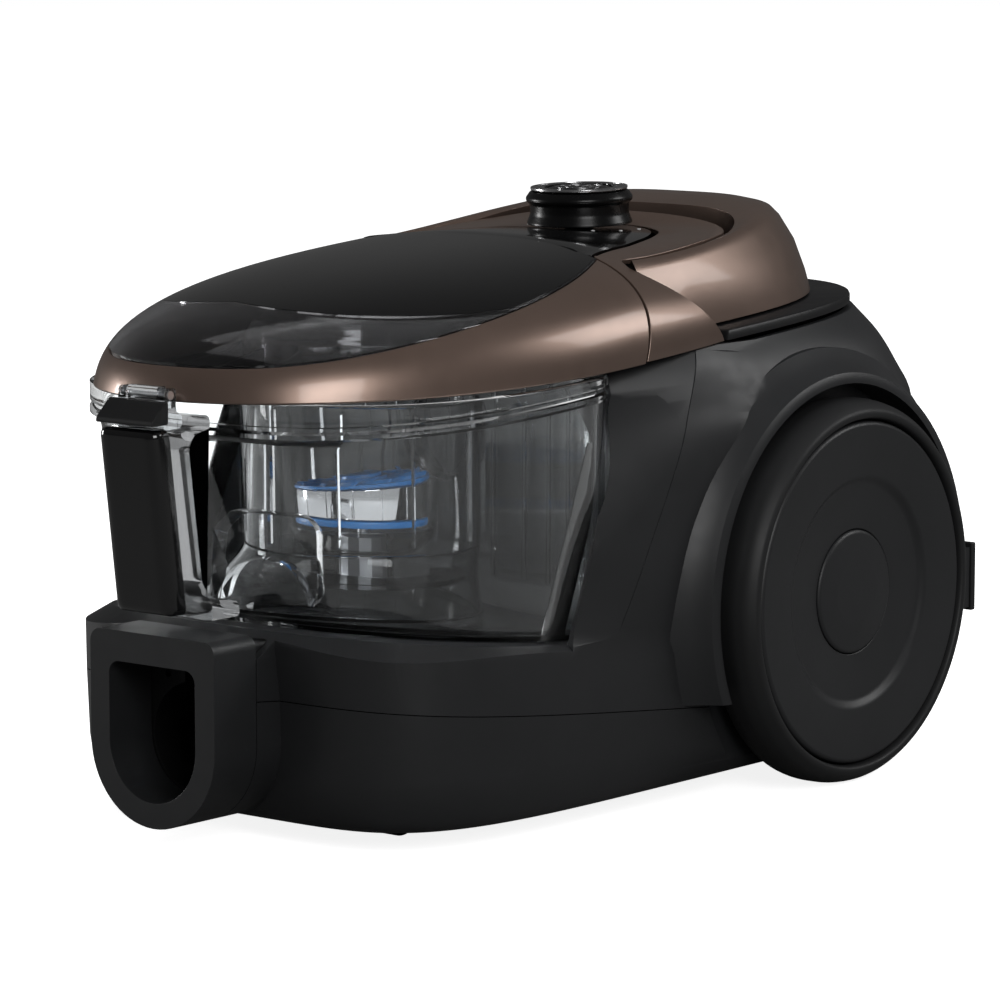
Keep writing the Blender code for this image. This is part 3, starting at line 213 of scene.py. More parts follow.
def settle(piece, look, body, stands_for=None, bevel=0.0, sharp=32, segments=2):
    """Smooths, bevels and colours a piece, ties it to its CAD body and hides the CAD node it stands for."""
    mesh = piece.data
    shape = bmesh.new()
    shape.from_mesh(mesh)
    bmesh.ops.dissolve_degenerate(shape, dist=0.000005, edges=shape.edges)
    for face in shape.faces:
        face.smooth = True
    for edge in shape.edges:
        edge.smooth = len(edge.link_faces) == 2 and edge.calc_face_angle(0.0) < radians(sharp)
    shape.to_mesh(mesh)
    shape.free()
    mesh.materials.clear()
    mesh.materials.append(look)
    if bevel:
        rounding = piece.modifiers.new("rounding", "BEVEL")
        rounding.width = bevel * MM
        rounding.segments = segments
        rounding.limit_method = "ANGLE"
        rounding.angle_limit = radians(sharp)
        rounding.harden_normals = True
    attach(piece, body)
    if stands_for:
        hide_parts(stands_for)


def loft(name, rings):
    """A closed body through rings of equal point count, running from one end to the other."""
    count = len(rings[0])
    shape = bmesh.new()
    rows = [[shape.verts.new(point) for point in ring] for ring in rings]
    for low, high in zip(rows, rows[1:]):
        for i in range(count):
            j = (i + 1) % count
            shape.faces.new((low[i], low[j], high[j], high[i]))
    shape.faces.new(list(reversed(rows[0])))
    shape.faces.new(rows[-1])
    caps = [face for face in shape.faces if len(face.verts) > 4]
    bmesh.ops.triangulate(shape, faces=caps)
    return place(shape, name)


def sheet(name, rows, thickness, inside):
    """A grid of points made a wall, which grows from the grid toward the inside point (both in millimetres)."""
    shape = bmesh.new()
    grid = [[shape.verts.new(point) for point in row] for row in rows]
    for low, high in zip(grid, grid[1:]):
        for a, b, c, d in zip(low, low[1:], high[1:], high):
            shape.faces.new((a, b, c, d))
    bmesh.ops.remove_doubles(shape, verts=shape.verts, dist=0.00001)
    bmesh.ops.recalc_face_normals(shape, faces=shape.faces)
    core = Vector(mm(*inside))
    if sum(face.normal.dot(face.calc_center_median() - core) for face in shape.faces) < 0:
        bmesh.ops.reverse_faces(shape, faces=shape.faces)
    made = as_object(shape, name)
    wall = made.modifiers.new("wall", "SOLIDIFY")
    wall.thickness = thickness * MM
    wall.offset = -1.0
    apply_modifiers(made)
    return made


def arc(centre, radius, start, end, steps):
    """Points on an arc, in degrees from the first axis toward the second."""
    turns = [radians(start + (end - start) * i / steps) for i in range(steps + 1)]
    return [(centre[0] + radius * cos(turn), centre[1] + radius * sin(turn)) for turn in turns]


def soften(points, radius, steps=4, closed=True):
    """An outline given in millimetres, in metres and with its corners rounded by short curves."""
    points = [Vector(mm(*point)) for point in points]
    out = []
    last = len(points) - 1
    for i, here in enumerate(points):
        if not closed and i in (0, last):
            out.append(tuple(here))
            continue
        before = points[i - 1] - here
        after = points[(i + 1) % len(points)] - here
        reach = min(radius * MM, before.length * 0.45, after.length * 0.45)
        start = here + before.normalized() * reach
        end = here + after.normalized() * reach
        for k in range(steps + 1):
            t = k / steps
            out.append(tuple(start * (1 - t) ** 2 + here * 2 * t * (1 - t) + end * t ** 2))
    return out


TURN = {
    "X": Matrix.Rotation(pi / 2, 4, "Y"),
    "Y": Matrix.Rotation(-pi / 2, 4, "X"),
    "Z": Matrix.Identity(4),
}


def turned(name, profile, centre, axis="Z", steps=96, flip=False, tilt=None):
    """A closed profile of (radius, height) points turned about an axis."""
    side = Matrix.Rotation(pi, 4, "X") if flip else Matrix.Identity(4)
    world = Matrix.Translation(centre) @ (tilt or Matrix.Identity(4)) @ TURN[axis] @ side
    turns = [2 * pi * i / steps for i in range(steps)]
    shape = bmesh.new()
    rings = []
    for r, h in profile:
        if r < 0.000001:
            rings.append([shape.verts.new(world @ Vector((0, 0, h)))])
        else:
            rings.append([shape.verts.new(world @ Vector((r * cos(turn), r * sin(turn), h))) for turn in turns])
    pairs = list(zip(rings, rings[1:]))
    if len(rings[0]) > 1 and len(rings[-1]) > 1:
        pairs.append((rings[-1], rings[0]))
    for a, b in pairs:
        if len(a) == 1 and len(b) == 1:
            continue
        for i in range(steps):
            j = (i + 1) % steps
            corners = [a[i % len(a)], a[j % len(a)], b[j % len(b)], b[i % len(b)]]
            shape.faces.new(list(dict.fromkeys(corners)))
    return place(shape, name)


def block(name, low, high, sign=1):
    """A box between two corners in millimetres, or its mirror image on the other side if sign is -1."""
    shape = bmesh.new()
    bmesh.ops.create_cube(shape, size=1.0)
    low, high = Vector(mm(*low)), Vector(mm(*high))
    if sign < 0:
        low.x, high.x = -high.x, -low.x
    bmesh.ops.scale(shape, vec=high - low, verts=shape.verts)
    bmesh.ops.translate(shape, vec=(low + high) / 2, verts=shape.verts)
    return place(shape, name)


def bar(name, radius, start, length, axis="Z", steps=64):
    """A round bar or a round cutter."""
    return turned(name, [(0, length), (radius, length), (radius, 0), (0, 0)], start, axis, steps)


def prism(name, points, low, high, axis="Y"):
    """An outline drawn along an axis: Y takes points as (x, z), and X takes them as (y, z)."""
    def put(p, h):
        return (p[0], h, p[1]) if axis == "Y" else (h, p[0], p[1])
    return loft(name, [[put(p, low) for p in points], [put(p, high) for p in points]])


def spoke(turn):
    """The outward and the sideways direction at a turn about an upright axis."""
    out = Vector((cos(turn), sin(turn), 0))
    return out, Vector((-out.y, out.x, 0))


def up(height):
    return Vector((0, 0, height))


# ---- the machine's main lines, as in the CAD model
FINE = 144
WHEEL_Y, WHEEL_Z = 100 * MM, 80 * MM
WELL_R, WELL_X = 86 * MM, 103 * MM
WALL = 3 * MM
BIN_HALF, BIN_Y, BIN_REAR, BIN_FRONT = 101 * MM, -45 * MM, -13 * MM, -166 * MM
BIN_POWER = 2.8
CYCLONE_Y = -65 * MM
CYCLONE = (0, CYCLONE_Y, 0)
CROWN_H, CROWN_POWER = 46 * MM, 2.6
LID_LENGTH, LID_POWER = 174 * MM, 2.15
PORT_Y = -110 * MM
INLET_Z, INLET_TOP, INLET_HALF = 42.5 * MM, 85.5 * MM, 32.5 * MM
CASTER_X, CASTER_Y, ROLLER_Y, ROLLER_Z = 46 * MM, -109 * MM, -101 * MM, 10.5 * MM
KNOB = Vector(mm(0, 74.7, 227.5))
KNOB_TILT = Matrix.Rotation(radians(2.0), 4, "X")
LID_PIN = Vector(mm(0, -189.6, 178.4))
HANDLE_PIN_Y, HANDLE_PIN_Z = 30 * MM, 211 * MM
SIDES = (("right", 1), ("left", -1))


def power(value, exponent):
    return abs(value) ** exponent * (1 if value >= 0 else -1)


def outline(half_w, middle, front, rear, front_n, rear_n, shift=0.0, count=FINE):
    """A plan that is a superellipse, with its own power ahead of the middle and behind it."""
    points = []
    for i in range(count):
        angle = 2 * pi * i / count
        along = -cos(angle)
        n = front_n if along < 0 else rear_n
        reach = middle - front if along < 0 else rear - middle
        across = (half_w + shift) * power(sin(angle), 2 / n)
        points.append((across, middle + (reach + shift) * power(along, 2 / n)))
    return points


def ring_at(points, height, rise=0.0):
    """A plan lifted to a height, or to a line that gives a height for each y, plus a rise in millimetres."""
    return [(x, y, (height(y) if callable(height) else height) + rise * MM) for x, y in points]


def seam_z(y):
    return 42.5 * MM - 0.104 * y


def ledge_z(y):
    return 70.5 * MM - 0.09 * y + 0.06 * y * y


def lip_z(y):
    return 176.0 * MM + 0.07 * y


def edge_z(y):
    return 182.4 * MM + 0.08 * y + 0.24 * y * y


def rim_z(y):
    return 190.5 * MM + 0.07 * (y - 45 * MM)


def parting_y(z):
    return -10 * MM + 0.3 * (z - 184 * MM)


def window_y(z):
    """The slanted rear edge of the bin's window."""
    return -91.3 * MM + 0.39 * z


def bin_outline(shift=0.0, front=BIN_FRONT):
    return outline(BIN_HALF, BIN_Y, front, BIN_REAR, BIN_POWER, BIN_POWER, shift)


def base_plan(shift=0.0):
    return outline(*mm(107, 46, -152, 192), 5.0, 4.5, shift)


def shoulder_plan(shift=0.0):
    return outline(*mm(107, 30, -155, 194), 4.5, 4.6, shift)


def eased(rows, steps):
    """A smooth curve through rows of numbers, with steps points between each two."""
    out = []
    last = len(rows) - 1
    for i in range(last):
        a, b, c, d = rows[max(i - 1, 0)], rows[i], rows[i + 1], rows[min(i + 2, last)]
        for k in range(steps):
            t = k / steps
            out.append([
                0.5 * (2 * q + (r - p) * t + (2 * p - 5 * q + 4 * r - s) * t * t
                       + (3 * q - p - 3 * r + s) * t ** 3)
                for p, q, r, s in zip(a, b, c, d)])
    out.append(list(rows[last]))
    return out


def neck_outline(half_w, top, shift=0.0, steps=32, corner=5 * MM):
    """The inlet neck's section as (x, z): a round bottom and a square top with small corners."""
    r = half_w + shift
    top = top + shift
    corner = max(corner + shift, 0.5 * MM)
    under = [(r * cos(pi + pi * i / steps), INLET_Z + r * sin(pi + pi * i / steps)) for i in range(steps + 1)]
    right = arc((r - corner, top - corner), corner, 0, 90, 6)
    left = arc((corner - r, top - corner), corner, 90, 180, 6)
    return under + right + left


def neck(name, shift, front, back, top=INLET_TOP, half_w=INLET_HALF):
    """The inlet neck as a solid, from a front to a back that are given in millimetres."""
    return prism(name, neck_outline(half_w, top, shift), front * MM, back * MM)


def both_wheels(name, radius, inner_x):
    length = 150 * MM - inner_x
    return [bar(name, radius, (start, WHEEL_Y, WHEEL_Z), length, "X", 96) for start in (inner_x, -150 * MM)]


def both_casters(name, radius, start, length, steps=64):
    """Upright bars on both casters' swivels, in millimetres."""
    places = [(x, CASTER_Y, start * MM) for x in (CASTER_X, -CASTER_X)]
    return [bar(name, radius * MM, where, length * MM, "Z", steps) for where in places]


# ---- lower body
def build_base_pan():
    levels = eased([(8, -14), (9.3, -9), (13.2, -5), (22, -2), (32, -0.6)], 4)
    rings = [ring_at(base_plan(inset * MM), z * MM) for z, inset in levels[:-1]]
    pan = loft("base_pan_shell", rings + [ring_at(base_plan(), seam_z)])
    pan_neck = neck("pan_neck", 0, -165, -139.6)
    wide = base_plan(20 * MM)
    combine(pan_neck, [loft("above_seam", [ring_at(wide, seam_z), ring_at(wide, 120 * MM)])])
    hollow = loft("pan_hollow", [
        ring_at(base_plan(-18 * MM), 11 * MM), ring_at(base_plan(-7.5 * MM), 16 * MM),
        ring_at(base_plan(-WALL), seam_z, 10)])
    combine(hollow, both_wheels("well_keep", WELL_R + WALL, WELL_X - WALL)
            + both_casters("pocket_keep", 27, -5, 37, 48))
    combine(pan, [hollow])
    combine(pan, [pan_neck], "UNION")
    cutters = [neck("neck_hollow", -WALL, -175, -110)] + both_wheels("well", WELL_R, WELL_X)
    combine(pan, cutters + both_casters("pocket", 24, -5, 34, 48) + both_casters("stem", 4.4, 20, 20))
    settle(pan, CHARCOAL, "body", "base_pan", 0.7)


# ---- upper body
# share of the height, half width, widest line, front, rear, front power, rear power
LEVELS = eased([
    (0, 106, 30, -154, 193, 4.5, 4.6),
    (0.31, 110, 70, -152, 196, 3, 4.6),
    (0.51, 113, 85, -150, 197, 2.4, 4.4),
    (0.71, 116, 95, -137, 195, 2, 3.9),
    (0.82, 111.5, 92, -137, 191, 2, 3.7),
    (0.92, 105.5, 76, -137, 188, 2.1, 3.6),
    (1, 98.5, 40, -150, 185, 2.2, 3.6),
], 5)
ARCH_SLOPE = [
    (34, -1.6), (28, -0.2), (23, 1.9), (18, 4.9), (14, 8.2), (10.4, 11.6), (7.6, 14.8), (5.6, 18),
    (4.4, 20), (2.4, 21)]


def housing_top(y):
    return edge_z(y) - 0.5 * MM if y < 45 * MM else rim_z(y) - 6.4 * MM


def upper_rings(shift):
    rings = []
    for share, w, middle, front, rear, fn, rn in LEVELS:
        plan = outline(*mm(w, middle, front, rear), fn, rn, shift)
        rings.append([(x, y, ledge_z(y) + share * (housing_top(y) - ledge_z(y))) for x, y in plan])
    return rings


def window_wedge(back):
    """All the space ahead of the slanted edge of the bin's window."""
    half = 170 * MM
    front = -230 * MM
    levels = []
    for z in mm(30, 280):
        edge = window_y(z) + back
        levels.append([(-half, front, z), (half, front, z), (half, edge, z), (-half, edge, z)])
    return loft("wedge", levels)


def bin_side_x(y, shift):
    """Half width of the bin's outline at a place along it."""
    reach = BIN_REAR - BIN_Y + shift if y > BIN_Y else BIN_Y - BIN_FRONT + shift
    part = min(abs(y - BIN_Y) / reach, 1)
    return (BIN_HALF + shift) * (1 - part ** BIN_POWER) ** (1 / BIN_POWER)


def housing_x(y, z):
    """Half width of the upper body at a place on its side, ahead of its widest line."""
    share = (z - ledge_z(y)) / (housing_top(y) - ledge_z(y))
    share = min(max(share, 0), 0.999)
    for low, high in zip(LEVELS, LEVELS[1:]):
        if share < high[0]:
            break
    part = (share - low[0]) / (high[0] - low[0])
    _, w, middle, front, _, n, _ = [a + (b - a) * part for a, b in zip(low, high)]
    ahead = min(max((middle * MM - y) / ((middle - front) * MM), 0), 1)
    return w * MM * (1 - ahead ** n) ** (1 / n)


def side_band(sign, sink=0):
    """The flat that slopes from the body's crease down to the window's edge."""
    rings = []
    for z in [(58 + 6 * k) * MM for k in range(22)]:
        edge_y = window_y(z)
        crease_y = -36 * MM + 0.56 * (z - 75 * MM)
        foot = max(0, 1.0 - (z / MM - 58) / 26) ** 2 * 16 * MM
        edge_x = bin_side_x(edge_y, 2.4 * MM) + foot - sink
        crease_x = housing_x(crease_y, z) - 0.3 * MM + foot * 0.3 - sink
        points = [
            (edge_x, edge_y - 8 * MM), (edge_x, edge_y), (crease_x, crease_y),
            (crease_x + 20 * MM, crease_y + 5 * MM), (150 * MM, crease_y + 5 * MM), (150 * MM, edge_y - 8 * MM)]
        rings.append([(sign * x, y, z) for x, y in points])
    return loft("side_band", rings)


def arch_flare(sign):
    """The flared arch over the front half of a wheel."""
    foot, head = WELL_R - 4 * MM, 21 * MM
    profile = [(foot, -5 * MM), (WELL_R + 34 * MM, -5 * MM)]
    profile += [(WELL_R + out * MM, rise * MM) for out, rise in ARCH_SLOPE] + [(foot, head)]
    flare = turned("arch_flare", profile, (sign * 99 * MM, WHEEL_Y, WHEEL_Z), "X", 96, sign < 0)
    behind = block("behind", (-150, WHEEL_Y / MM - 4, -40), (150, 260, 260))
    combine(behind, [block("above", (-151, -60, 158), (151, 261, 261))], "UNION")
    combine(behind, [bar("keep", WELL_R + 14 * MM, (-160 * MM, WHEEL_Y, WHEEL_Z), 320 * MM, "X", 128)])
    combine(flare, [behind, block("under", (-150, -10, -40), (150, 240, 43))])
    return flare


def housing_hollow():
    """The room inside the upper body, which leaves walls at the skin, the bin's recess and the wells."""
    hollow = loft("hollow", [
        ring_at(base_plan(-WALL - 1.3 * MM), seam_z, -5),
        ring_at(shoulder_plan(-WALL - 2.7 * MM), ledge_z, -WALL / MM - GAP)])
    inner = upper_rings(-WALL)
    lifted = [[(x, y, z + 8 * MM) for x, y, z in inner[-1]]]
    upper = loft("upper_hollow", [ring_at(shoulder_plan(-WALL - 6 * MM), ledge_z, -12)] + inner[2:] + lifted)
    wall = bin_outline(WALL + 1 * MM)
    combine(upper, [loft("recess_wall", [ring_at(wall, 40 * MM), ring_at(wall, 240 * MM)])])
    combine(upper, [window_wedge(3 * MM)])
    combine(upper, [hollow], "UNION")
    combine(upper, [side_band(1, WALL), side_band(-1, WALL)])
    combine(upper, both_wheels("well_keep", WELL_R + WALL, WELL_X - WALL))
    return upper


def build_upper_housing():
    rings = [ring_at(base_plan(), seam_z, GAP), ring_at(shoulder_plan(), ledge_z, -6)]
    body = loft("upper_housing_shell", rings + upper_rings(0))
    housing_neck = neck("housing_neck", 0, -165, -120)
    wide = base_plan(20 * MM)
    combine(housing_neck, [loft("below_seam", [ring_at(wide, -20 * MM), ring_at(wide, seam_z, GAP)])])
    combine(body, [housing_neck], "UNION")
    combine(body, [side_band(1), side_band(-1)])
    for _, sign in SIDES:
        bracket = block("foot_bracket", (84, 170, 60.5), (116, 199.5, 86.5), sign)
        combine(body, [arch_flare(sign), bracket], "UNION")
    combine(body, [housing_hollow()])

    room = bin_outline(1 * MM)
    recess = loft("recess", [ring_at(room, ledge_z, -GAP), ring_at(room, 240 * MM)])
    around = bin_outline(60 * MM, -150 * MM)
    window = loft("window", [
        ring_at(bin_outline(1.5 * MM, -150 * MM), ledge_z, -GAP), ring_at(around, ledge_z, -42),
        ring_at(around, 270 * MM)])
    combine(window, [window_wedge(0)], "INTERSECT")
    cutters = [recess, window, neck("neck_hollow", -WALL, -175, -110)]
    cutters += both_wheels("well", WELL_R, WELL_X)
    cutters += [bar("axle_bore", 6.3 * MM, (x, WHEEL_Y, WHEEL_Z), 25 * MM, "X") for x in mm(90, -115)]
    cutters += [
        bar("port", 19 * MM, (0, PORT_Y, 60 * MM), 40 * MM),
        bar("outlet", 20 * MM, mm(0, -20, 148), 30 * MM, "Y"),
        block("grille_hole", (-45.4, 180, 89.6), (45.4, 210, 150.4)),
        bar("gland_hole", 7.4 * MM, mm(-68, 170, 70), 40 * MM, "Y"),
    ]
    combine(body, cutters)
    settle(body, CHARCOAL, "body", "upper_housing", 0.9, 30)


# ---- hose inlet
def build_inlet():
    bezel = neck("inlet_bezel_frame", 0, -189, -165.4)
    combine(bezel, [neck("opening", 0, -200, -160, 73.5 * MM, 22.5 * MM)])
    settle(bezel, CHARCOAL, "body", "inlet_bezel", 1.6, 40, 4)

    socket = neck("hose_socket_plate", -WALL - 0.6 * MM, -165, -150)
    combine(socket, [
        bar("bore", 21.5 * MM, (0, -180 * MM, INLET_Z), 50 * MM, "Y", 96),
        block("key", (-5, -180, INLET_Z / MM), (5, -140, 70)),
        bar("screw_hole", 1.6 * MM, mm(-14, -170, 66), 9 * MM, "Y", 24),
        bar("screw_hole", 1.6 * MM, mm(14, -170, 66), 9 * MM, "Y", 24)])
    settle(socket, DARK, "body", "hose_socket", 0.7)


# ---- wheels and casters
def build_wheel(side, sign):
    body = f"wheel_{side}"
    face = 23.0
    tyre = soften([
        (71.7, face - 2.4), (72.6, face + 0.5), (75.5, face + 0.4), (78.5, face - 3.2), (80, face - 9), (80, 6),
        (79, 2), (76, 0), (71.7, 0)], 2.2, 5)
    disc = soften([
        (26, face - 5.6), (45.4, face - 4.4), (48.2, face - 2.4), (69.6, face - 0.6), (71, face - 1.8),
        (71, 2), (67.5, 2), (67.5, face - 4.5), (46, face - 7), (24, face - 9.5), (11, face - 9.5), (11, 2),
        (6.4, 2), (6.4, face - 7), (26.1, face - 7)], 1.2)
    cap = soften([
        (0, face - 3.4), (14, face - 3.7), (24.6, face - 4.6), (25.7, face - 5.4), (25.7, face - 6.6),
        (0, face - 6.6)], 0.8, closed=False)
    for name, profile, steps, look, node in (
            ("tyre_ring", tyre, 128, RUBBER, "tyre"), ("dish", disc, 128, CHARCOAL, "disc"),
            ("hub", cap, 96, CHARCOAL, "cap")):
        centre = (sign * 107 * MM, WHEEL_Y, WHEEL_Z)
        settle(turned(f"{body}_{name}", profile, centre, "X", steps, sign < 0), look, body, f"{body}_{node}")


def build_caster(side, sign):
    x = sign * CASTER_X
    plate = soften([
        (0, 38), (4, 38), (4, 28.6), (20, 28.6), (21, 26), (21, 9), (19.5, 7.5), (0, 7.5)], 0.8, 3, False)
    fork = turned(f"caster_{side}_turntable", plate, (x, CASTER_Y, 0), "Z", 64)
    combine(fork, [
        bar("slot", 11.7 * MM, (x - 6.6 * MM, ROLLER_Y, ROLLER_Z), 13.2 * MM, "X", 48),
        bar("pin_hole", 1.9 * MM, (x - 12 * MM, ROLLER_Y, ROLLER_Z), 24 * MM, "X", 24)])
    settle(fork, DARK, f"caster_{side}", f"caster_{side}_fork", 0.4)
    spool = soften([
        (0, 11.2), (1.5, 11.2), (1.5, 6.2), (9.5, 6.2), (10.5, 5), (10.5, -5), (9.5, -6.2), (1.5, -6.2),
        (1.5, -11.2), (0, -11.2)], 0.6, 3, False)
    roller = turned(f"caster_{side}_wheel", spool, (x, ROLLER_Y, ROLLER_Z), "X", 64)
    settle(roller, RUBBER, f"roller_{side}", f"caster_{side}_roller")


# ---- dust bin
def build_bin():
    # shift and front of the outline, the line it follows and its rise above it
    rows = [
        (-4, -147, ledge_z, GAP), (-1.9, -148.6, ledge_z, 1.2), (-1.2, -149, ledge_z, 3),
        (-1, -152, ledge_z, 24), (-0.8, -156, ledge_z, 48), (-0.7, -160, ledge_z, 72),
        (-0.8, -163, lip_z, -4.6), (0.4, -166, lip_z, -3.2), (0.4, -166, lip_z, -1.6),
        (-0.7, -165.2, lip_z, -0.6), (-0.7, -165.2, lip_z, 0.8), (0.3, -166, lip_z, 1.6),
        (0.3, -166, edge_z, -3.4 * GAP), (-0.3, -166, edge_z, -2.5 * GAP),
        (-3, -166, edge_z, -2.5 * GAP), (-3.2, -164, edge_z, -3.4 * GAP),
        (-3.2, -163, lip_z, -5), (-3.6, -156, ledge_z, 48), (-4, -149, ledge_z, 6),
        (-5, -148.2, ledge_z, 3.4), (-7, -147, ledge_z, 3),
    ]
    shell = loft("bin_wall", [
        ring_at(bin_outline(shift * MM, front * MM), line, rise) for shift, front, line, rise in rows])
    combine(shell, [
        bar("port", 16.5 * MM, (0, PORT_Y, 60 * MM), 30 * MM),
        bar("outlet", 18 * MM, mm(0, -24, 148), 30 * MM, "Y")])
    settle(shell, CLEAR, "bin", "bin_shell", 0, 40)


def build_bin_mask():
    """The black strip inside each side of the bin, along the slanted edge of its window."""
    for side, sign in SIDES:
        for part, low, top, back in (("low", 78, 153, 11), ("high", 153, 176, 4)):
            rows = []
            for k in range(9):
                z = (low + (top - low) * k / 8) * MM
                line = [window_y(z) - back * MM + (back + 3) * MM * c / 8 for c in range(9)]
                rows.append([(sign * bin_side_x(y, -5.2 * MM), y, z) for y in line])
            strip = sheet(f"bin_edge_mask_{side}_{part}", rows, 0.6, (0, -45, 120))
            settle(strip, STRIPE, "bin")


def build_cyclone():
    wall = soften([(47, 166), (47, 106), (45, 106), (45, 166)], 0.7, 3)
    settle(turned("cyclone_tube", wall, CYCLONE), CLEAR_INNER, "bin", "cyclone_wall")
    rows = []
    top = 105.6 * MM
    for k in range(13):
        t = k / 12
        r = (47 + 10 * t ** 1.9) * MM
        row = []
        for c in range(97):
            turn = 2 * pi * c / 96
            y = CYCLONE_Y - 14 * t ** 1.3 * MM + r * sin(turn)
            row.append((r * cos(turn), y, top + (ledge_z(y) + 5 * MM - top) * t))
        rows.append(row)
    settle(sheet("cyclone_bell", rows, 2, (0, -65, 95)), CLEAR_INNER, "bin", "cyclone_skirt", 0.4)
    ramp = []
    for k in range(61):
        turn = radians(-150 + 300 * k / 60)
        z = (99 - 8 * k / 60) * MM
        ramp.append([(r * sin(turn), CYCLONE_Y - 2 * MM - r * cos(turn), z) for r in mm(29.5, 36, 43.5)])
    settle(sheet("ramp_flight", ramp, 2, (0, -65, 0)), SMOKE, "bin", "spiral_ramp", 0.4)
    bowl = soften([
        (28.6, 114.5), (27.5, 110), (22, 104), (12, 100.5), (12, 88), (10, 88), (10, 102), (20.5, 105.6),
        (25.5, 111), (26.6, 114.5)], 2)
    settle(turned("turbine_cup", bowl, CYCLONE, steps=72), CLEAR_INNER, "bin", "turbine_bowl")


def build_cyclone_ribs():
    for k in range(10):
        out, side = spoke(2 * pi * k / 10 + 0.2)
        half = side * 0.7 * MM
        section = [out * 47.4 * MM - half, out * 49.4 * MM, out * 47.4 * MM + half]
        rings = [[Vector(CYCLONE) + p + up(z) for p in section] for z in mm(110, 136, 163)]
        settle(loft(f"cyclone_rib_{k}", rings), CLEAR_INNER, "bin")


def build_scoop():
    """The arched duct that leads dirty air from the inlet to the cyclone."""
    arch = soften([
        (19.5, 0), (19, 30), (14, 35.5), (-14, 37.5), (-22, 30), (-25, 0), (-22, 0),
        (-19, 9), (-13.5, 15.5), (-3, 18), (8, 14.5), (13.5, 7), (15.5, 0)], 3)
    across, along = spoke(radians(26))
    start = Vector(mm(18, -141, 93))
    rings = []
    for depth, share in ((0, 1), (8, 0.97), (16, 0.9)):
        rings.append([start + along * depth * MM + across * a * share + up(h * share) for a, h in arch])
    settle(loft("inlet_scoop", rings), CLEAR_INNER, "bin", bevel=0.5)


def turbine_blade(first_turn):
    """A blade that leans and sweeps back as it runs out from the hub."""
    rings = []
    for step in range(9):
        t = step / 8
        out, side = spoke(first_turn + 0.55 * t * t)
        reach = (9.6 + 16.0 * t) * MM
        low = Vector((0, CYCLONE_Y, 134.6 * MM)) + out * reach
        high = low + side * 2.6 * MM + up((1.4 + 1.5 * t) * MM)
        thin = side * 0.45 * MM
        rings.append([low - thin, low + thin, high + thin, high - thin])
    return loft("blade", rings)


def build_turbine():
    rotor = soften([
        (0, 139), (8, 139), (8, 134), (24, 134), (24, 119), (25.8, 118.6), (25.8, 115.6), (20, 115.6),
        (20, 130), (7, 131), (4.6, 129), (4.6, 122), (2.9, 122), (2.9, 130), (0, 130)], 0.7, 3, False)
    settle(turned("turbine_wheel", rotor, CYCLONE, steps=72), BLUE, "turbine", "turbine_rotor")
    band = soften([(26.6, 133.6), (26.6, 119.4), (24.4, 119.4), (24.4, 133.6)], 0.6, 3)
    settle(turned("turbine_hoop", band, CYCLONE), CHROME, "turbine", "turbine_band")
    hub = bar("turbine_fins", 10.5 * MM, (0, CYCLONE_Y, 134.4 * MM), 3 * MM, "Z", 48)
    combine(hub, [bar("clear", 8.5 * MM, (0, CYCLONE_Y, 130 * MM), 12 * MM, "Z", 48)])
    hoop = [mm(26.8, 136), mm(26.8, 134.4), mm(24.8, 134.4), mm(24.8, 136)]
    rim = turned("rim", hoop, CYCLONE, steps=72)
    combine(hub, [rim] + [turbine_blade(2 * pi * k / 12) for k in range(12)], "UNION", "EXACT")
    settle(hub, BLUE, "turbine", "turbine_blades", 0, 40)


# ---- lid
def lid_point(turn, share):
    """A point on the lid: turn runs -90 to 90 degrees from side to side through the front."""
    x = share * BIN_HALF * power(sin(turn), 2 / LID_POWER)
    ahead = -share * LID_LENGTH * power(cos(turn), 2 / LID_POWER)
    z = edge_z(ahead - 10 * MM) + CROWN_H * (1.0 - min(share, 1) ** CROWN_POWER) ** (1 / CROWN_POWER)
    return Vector((x, parting_y(z) + ahead, z))


def band_edge(turn):
    return 0.985 - 0.325 * (abs(turn) / (pi / 2)) ** 3.6


def window_edge(turn):
    lift = min(abs(turn) / radians(72), 1)
    return min(0.79 + 0.13 * lift - 0.06 * lift ** 4, band_edge(turn) - 0.012)


def lid_sheet(name, inner, outer, count, thickness):
    """The part of the lid between two lines, each of which gives a share of the lid's reach for a turn."""
    columns = 96
    grid = []
    for r in range(count + 1):
        row = []
        for c in range(columns + 1):
            turn = -pi / 2 + pi * c / columns
            low = inner(turn)
            row.append(lid_point(turn, low + (outer(turn) - low) * sin(r / count * pi / 2)))
        grid.append(row)
    return sheet(name, grid, thickness, (0, -40, 120))


def build_lid():
    ring = lid_sheet("lid_bezel", lambda a: band_edge(a) + 0.0015, lambda a: 1, 14, 2.2)
    settle(ring, BRONZE, "lid", "lid_ring", 0.7, 40, 3)
    window = lid_sheet("lid_glazing", lambda a: window_edge(a) + 0.002, lambda a: band_edge(a) - 0.0015, 8, 2)
    settle(window, SMOKE, "lid", "lid_window", 0.3, 40)
    dome = lid_sheet("lid_cover", lambda a: 0, window_edge, 24, 2)
    settle(dome, GLOSS, "lid", "lid_dome", 0.5, 40, 3)


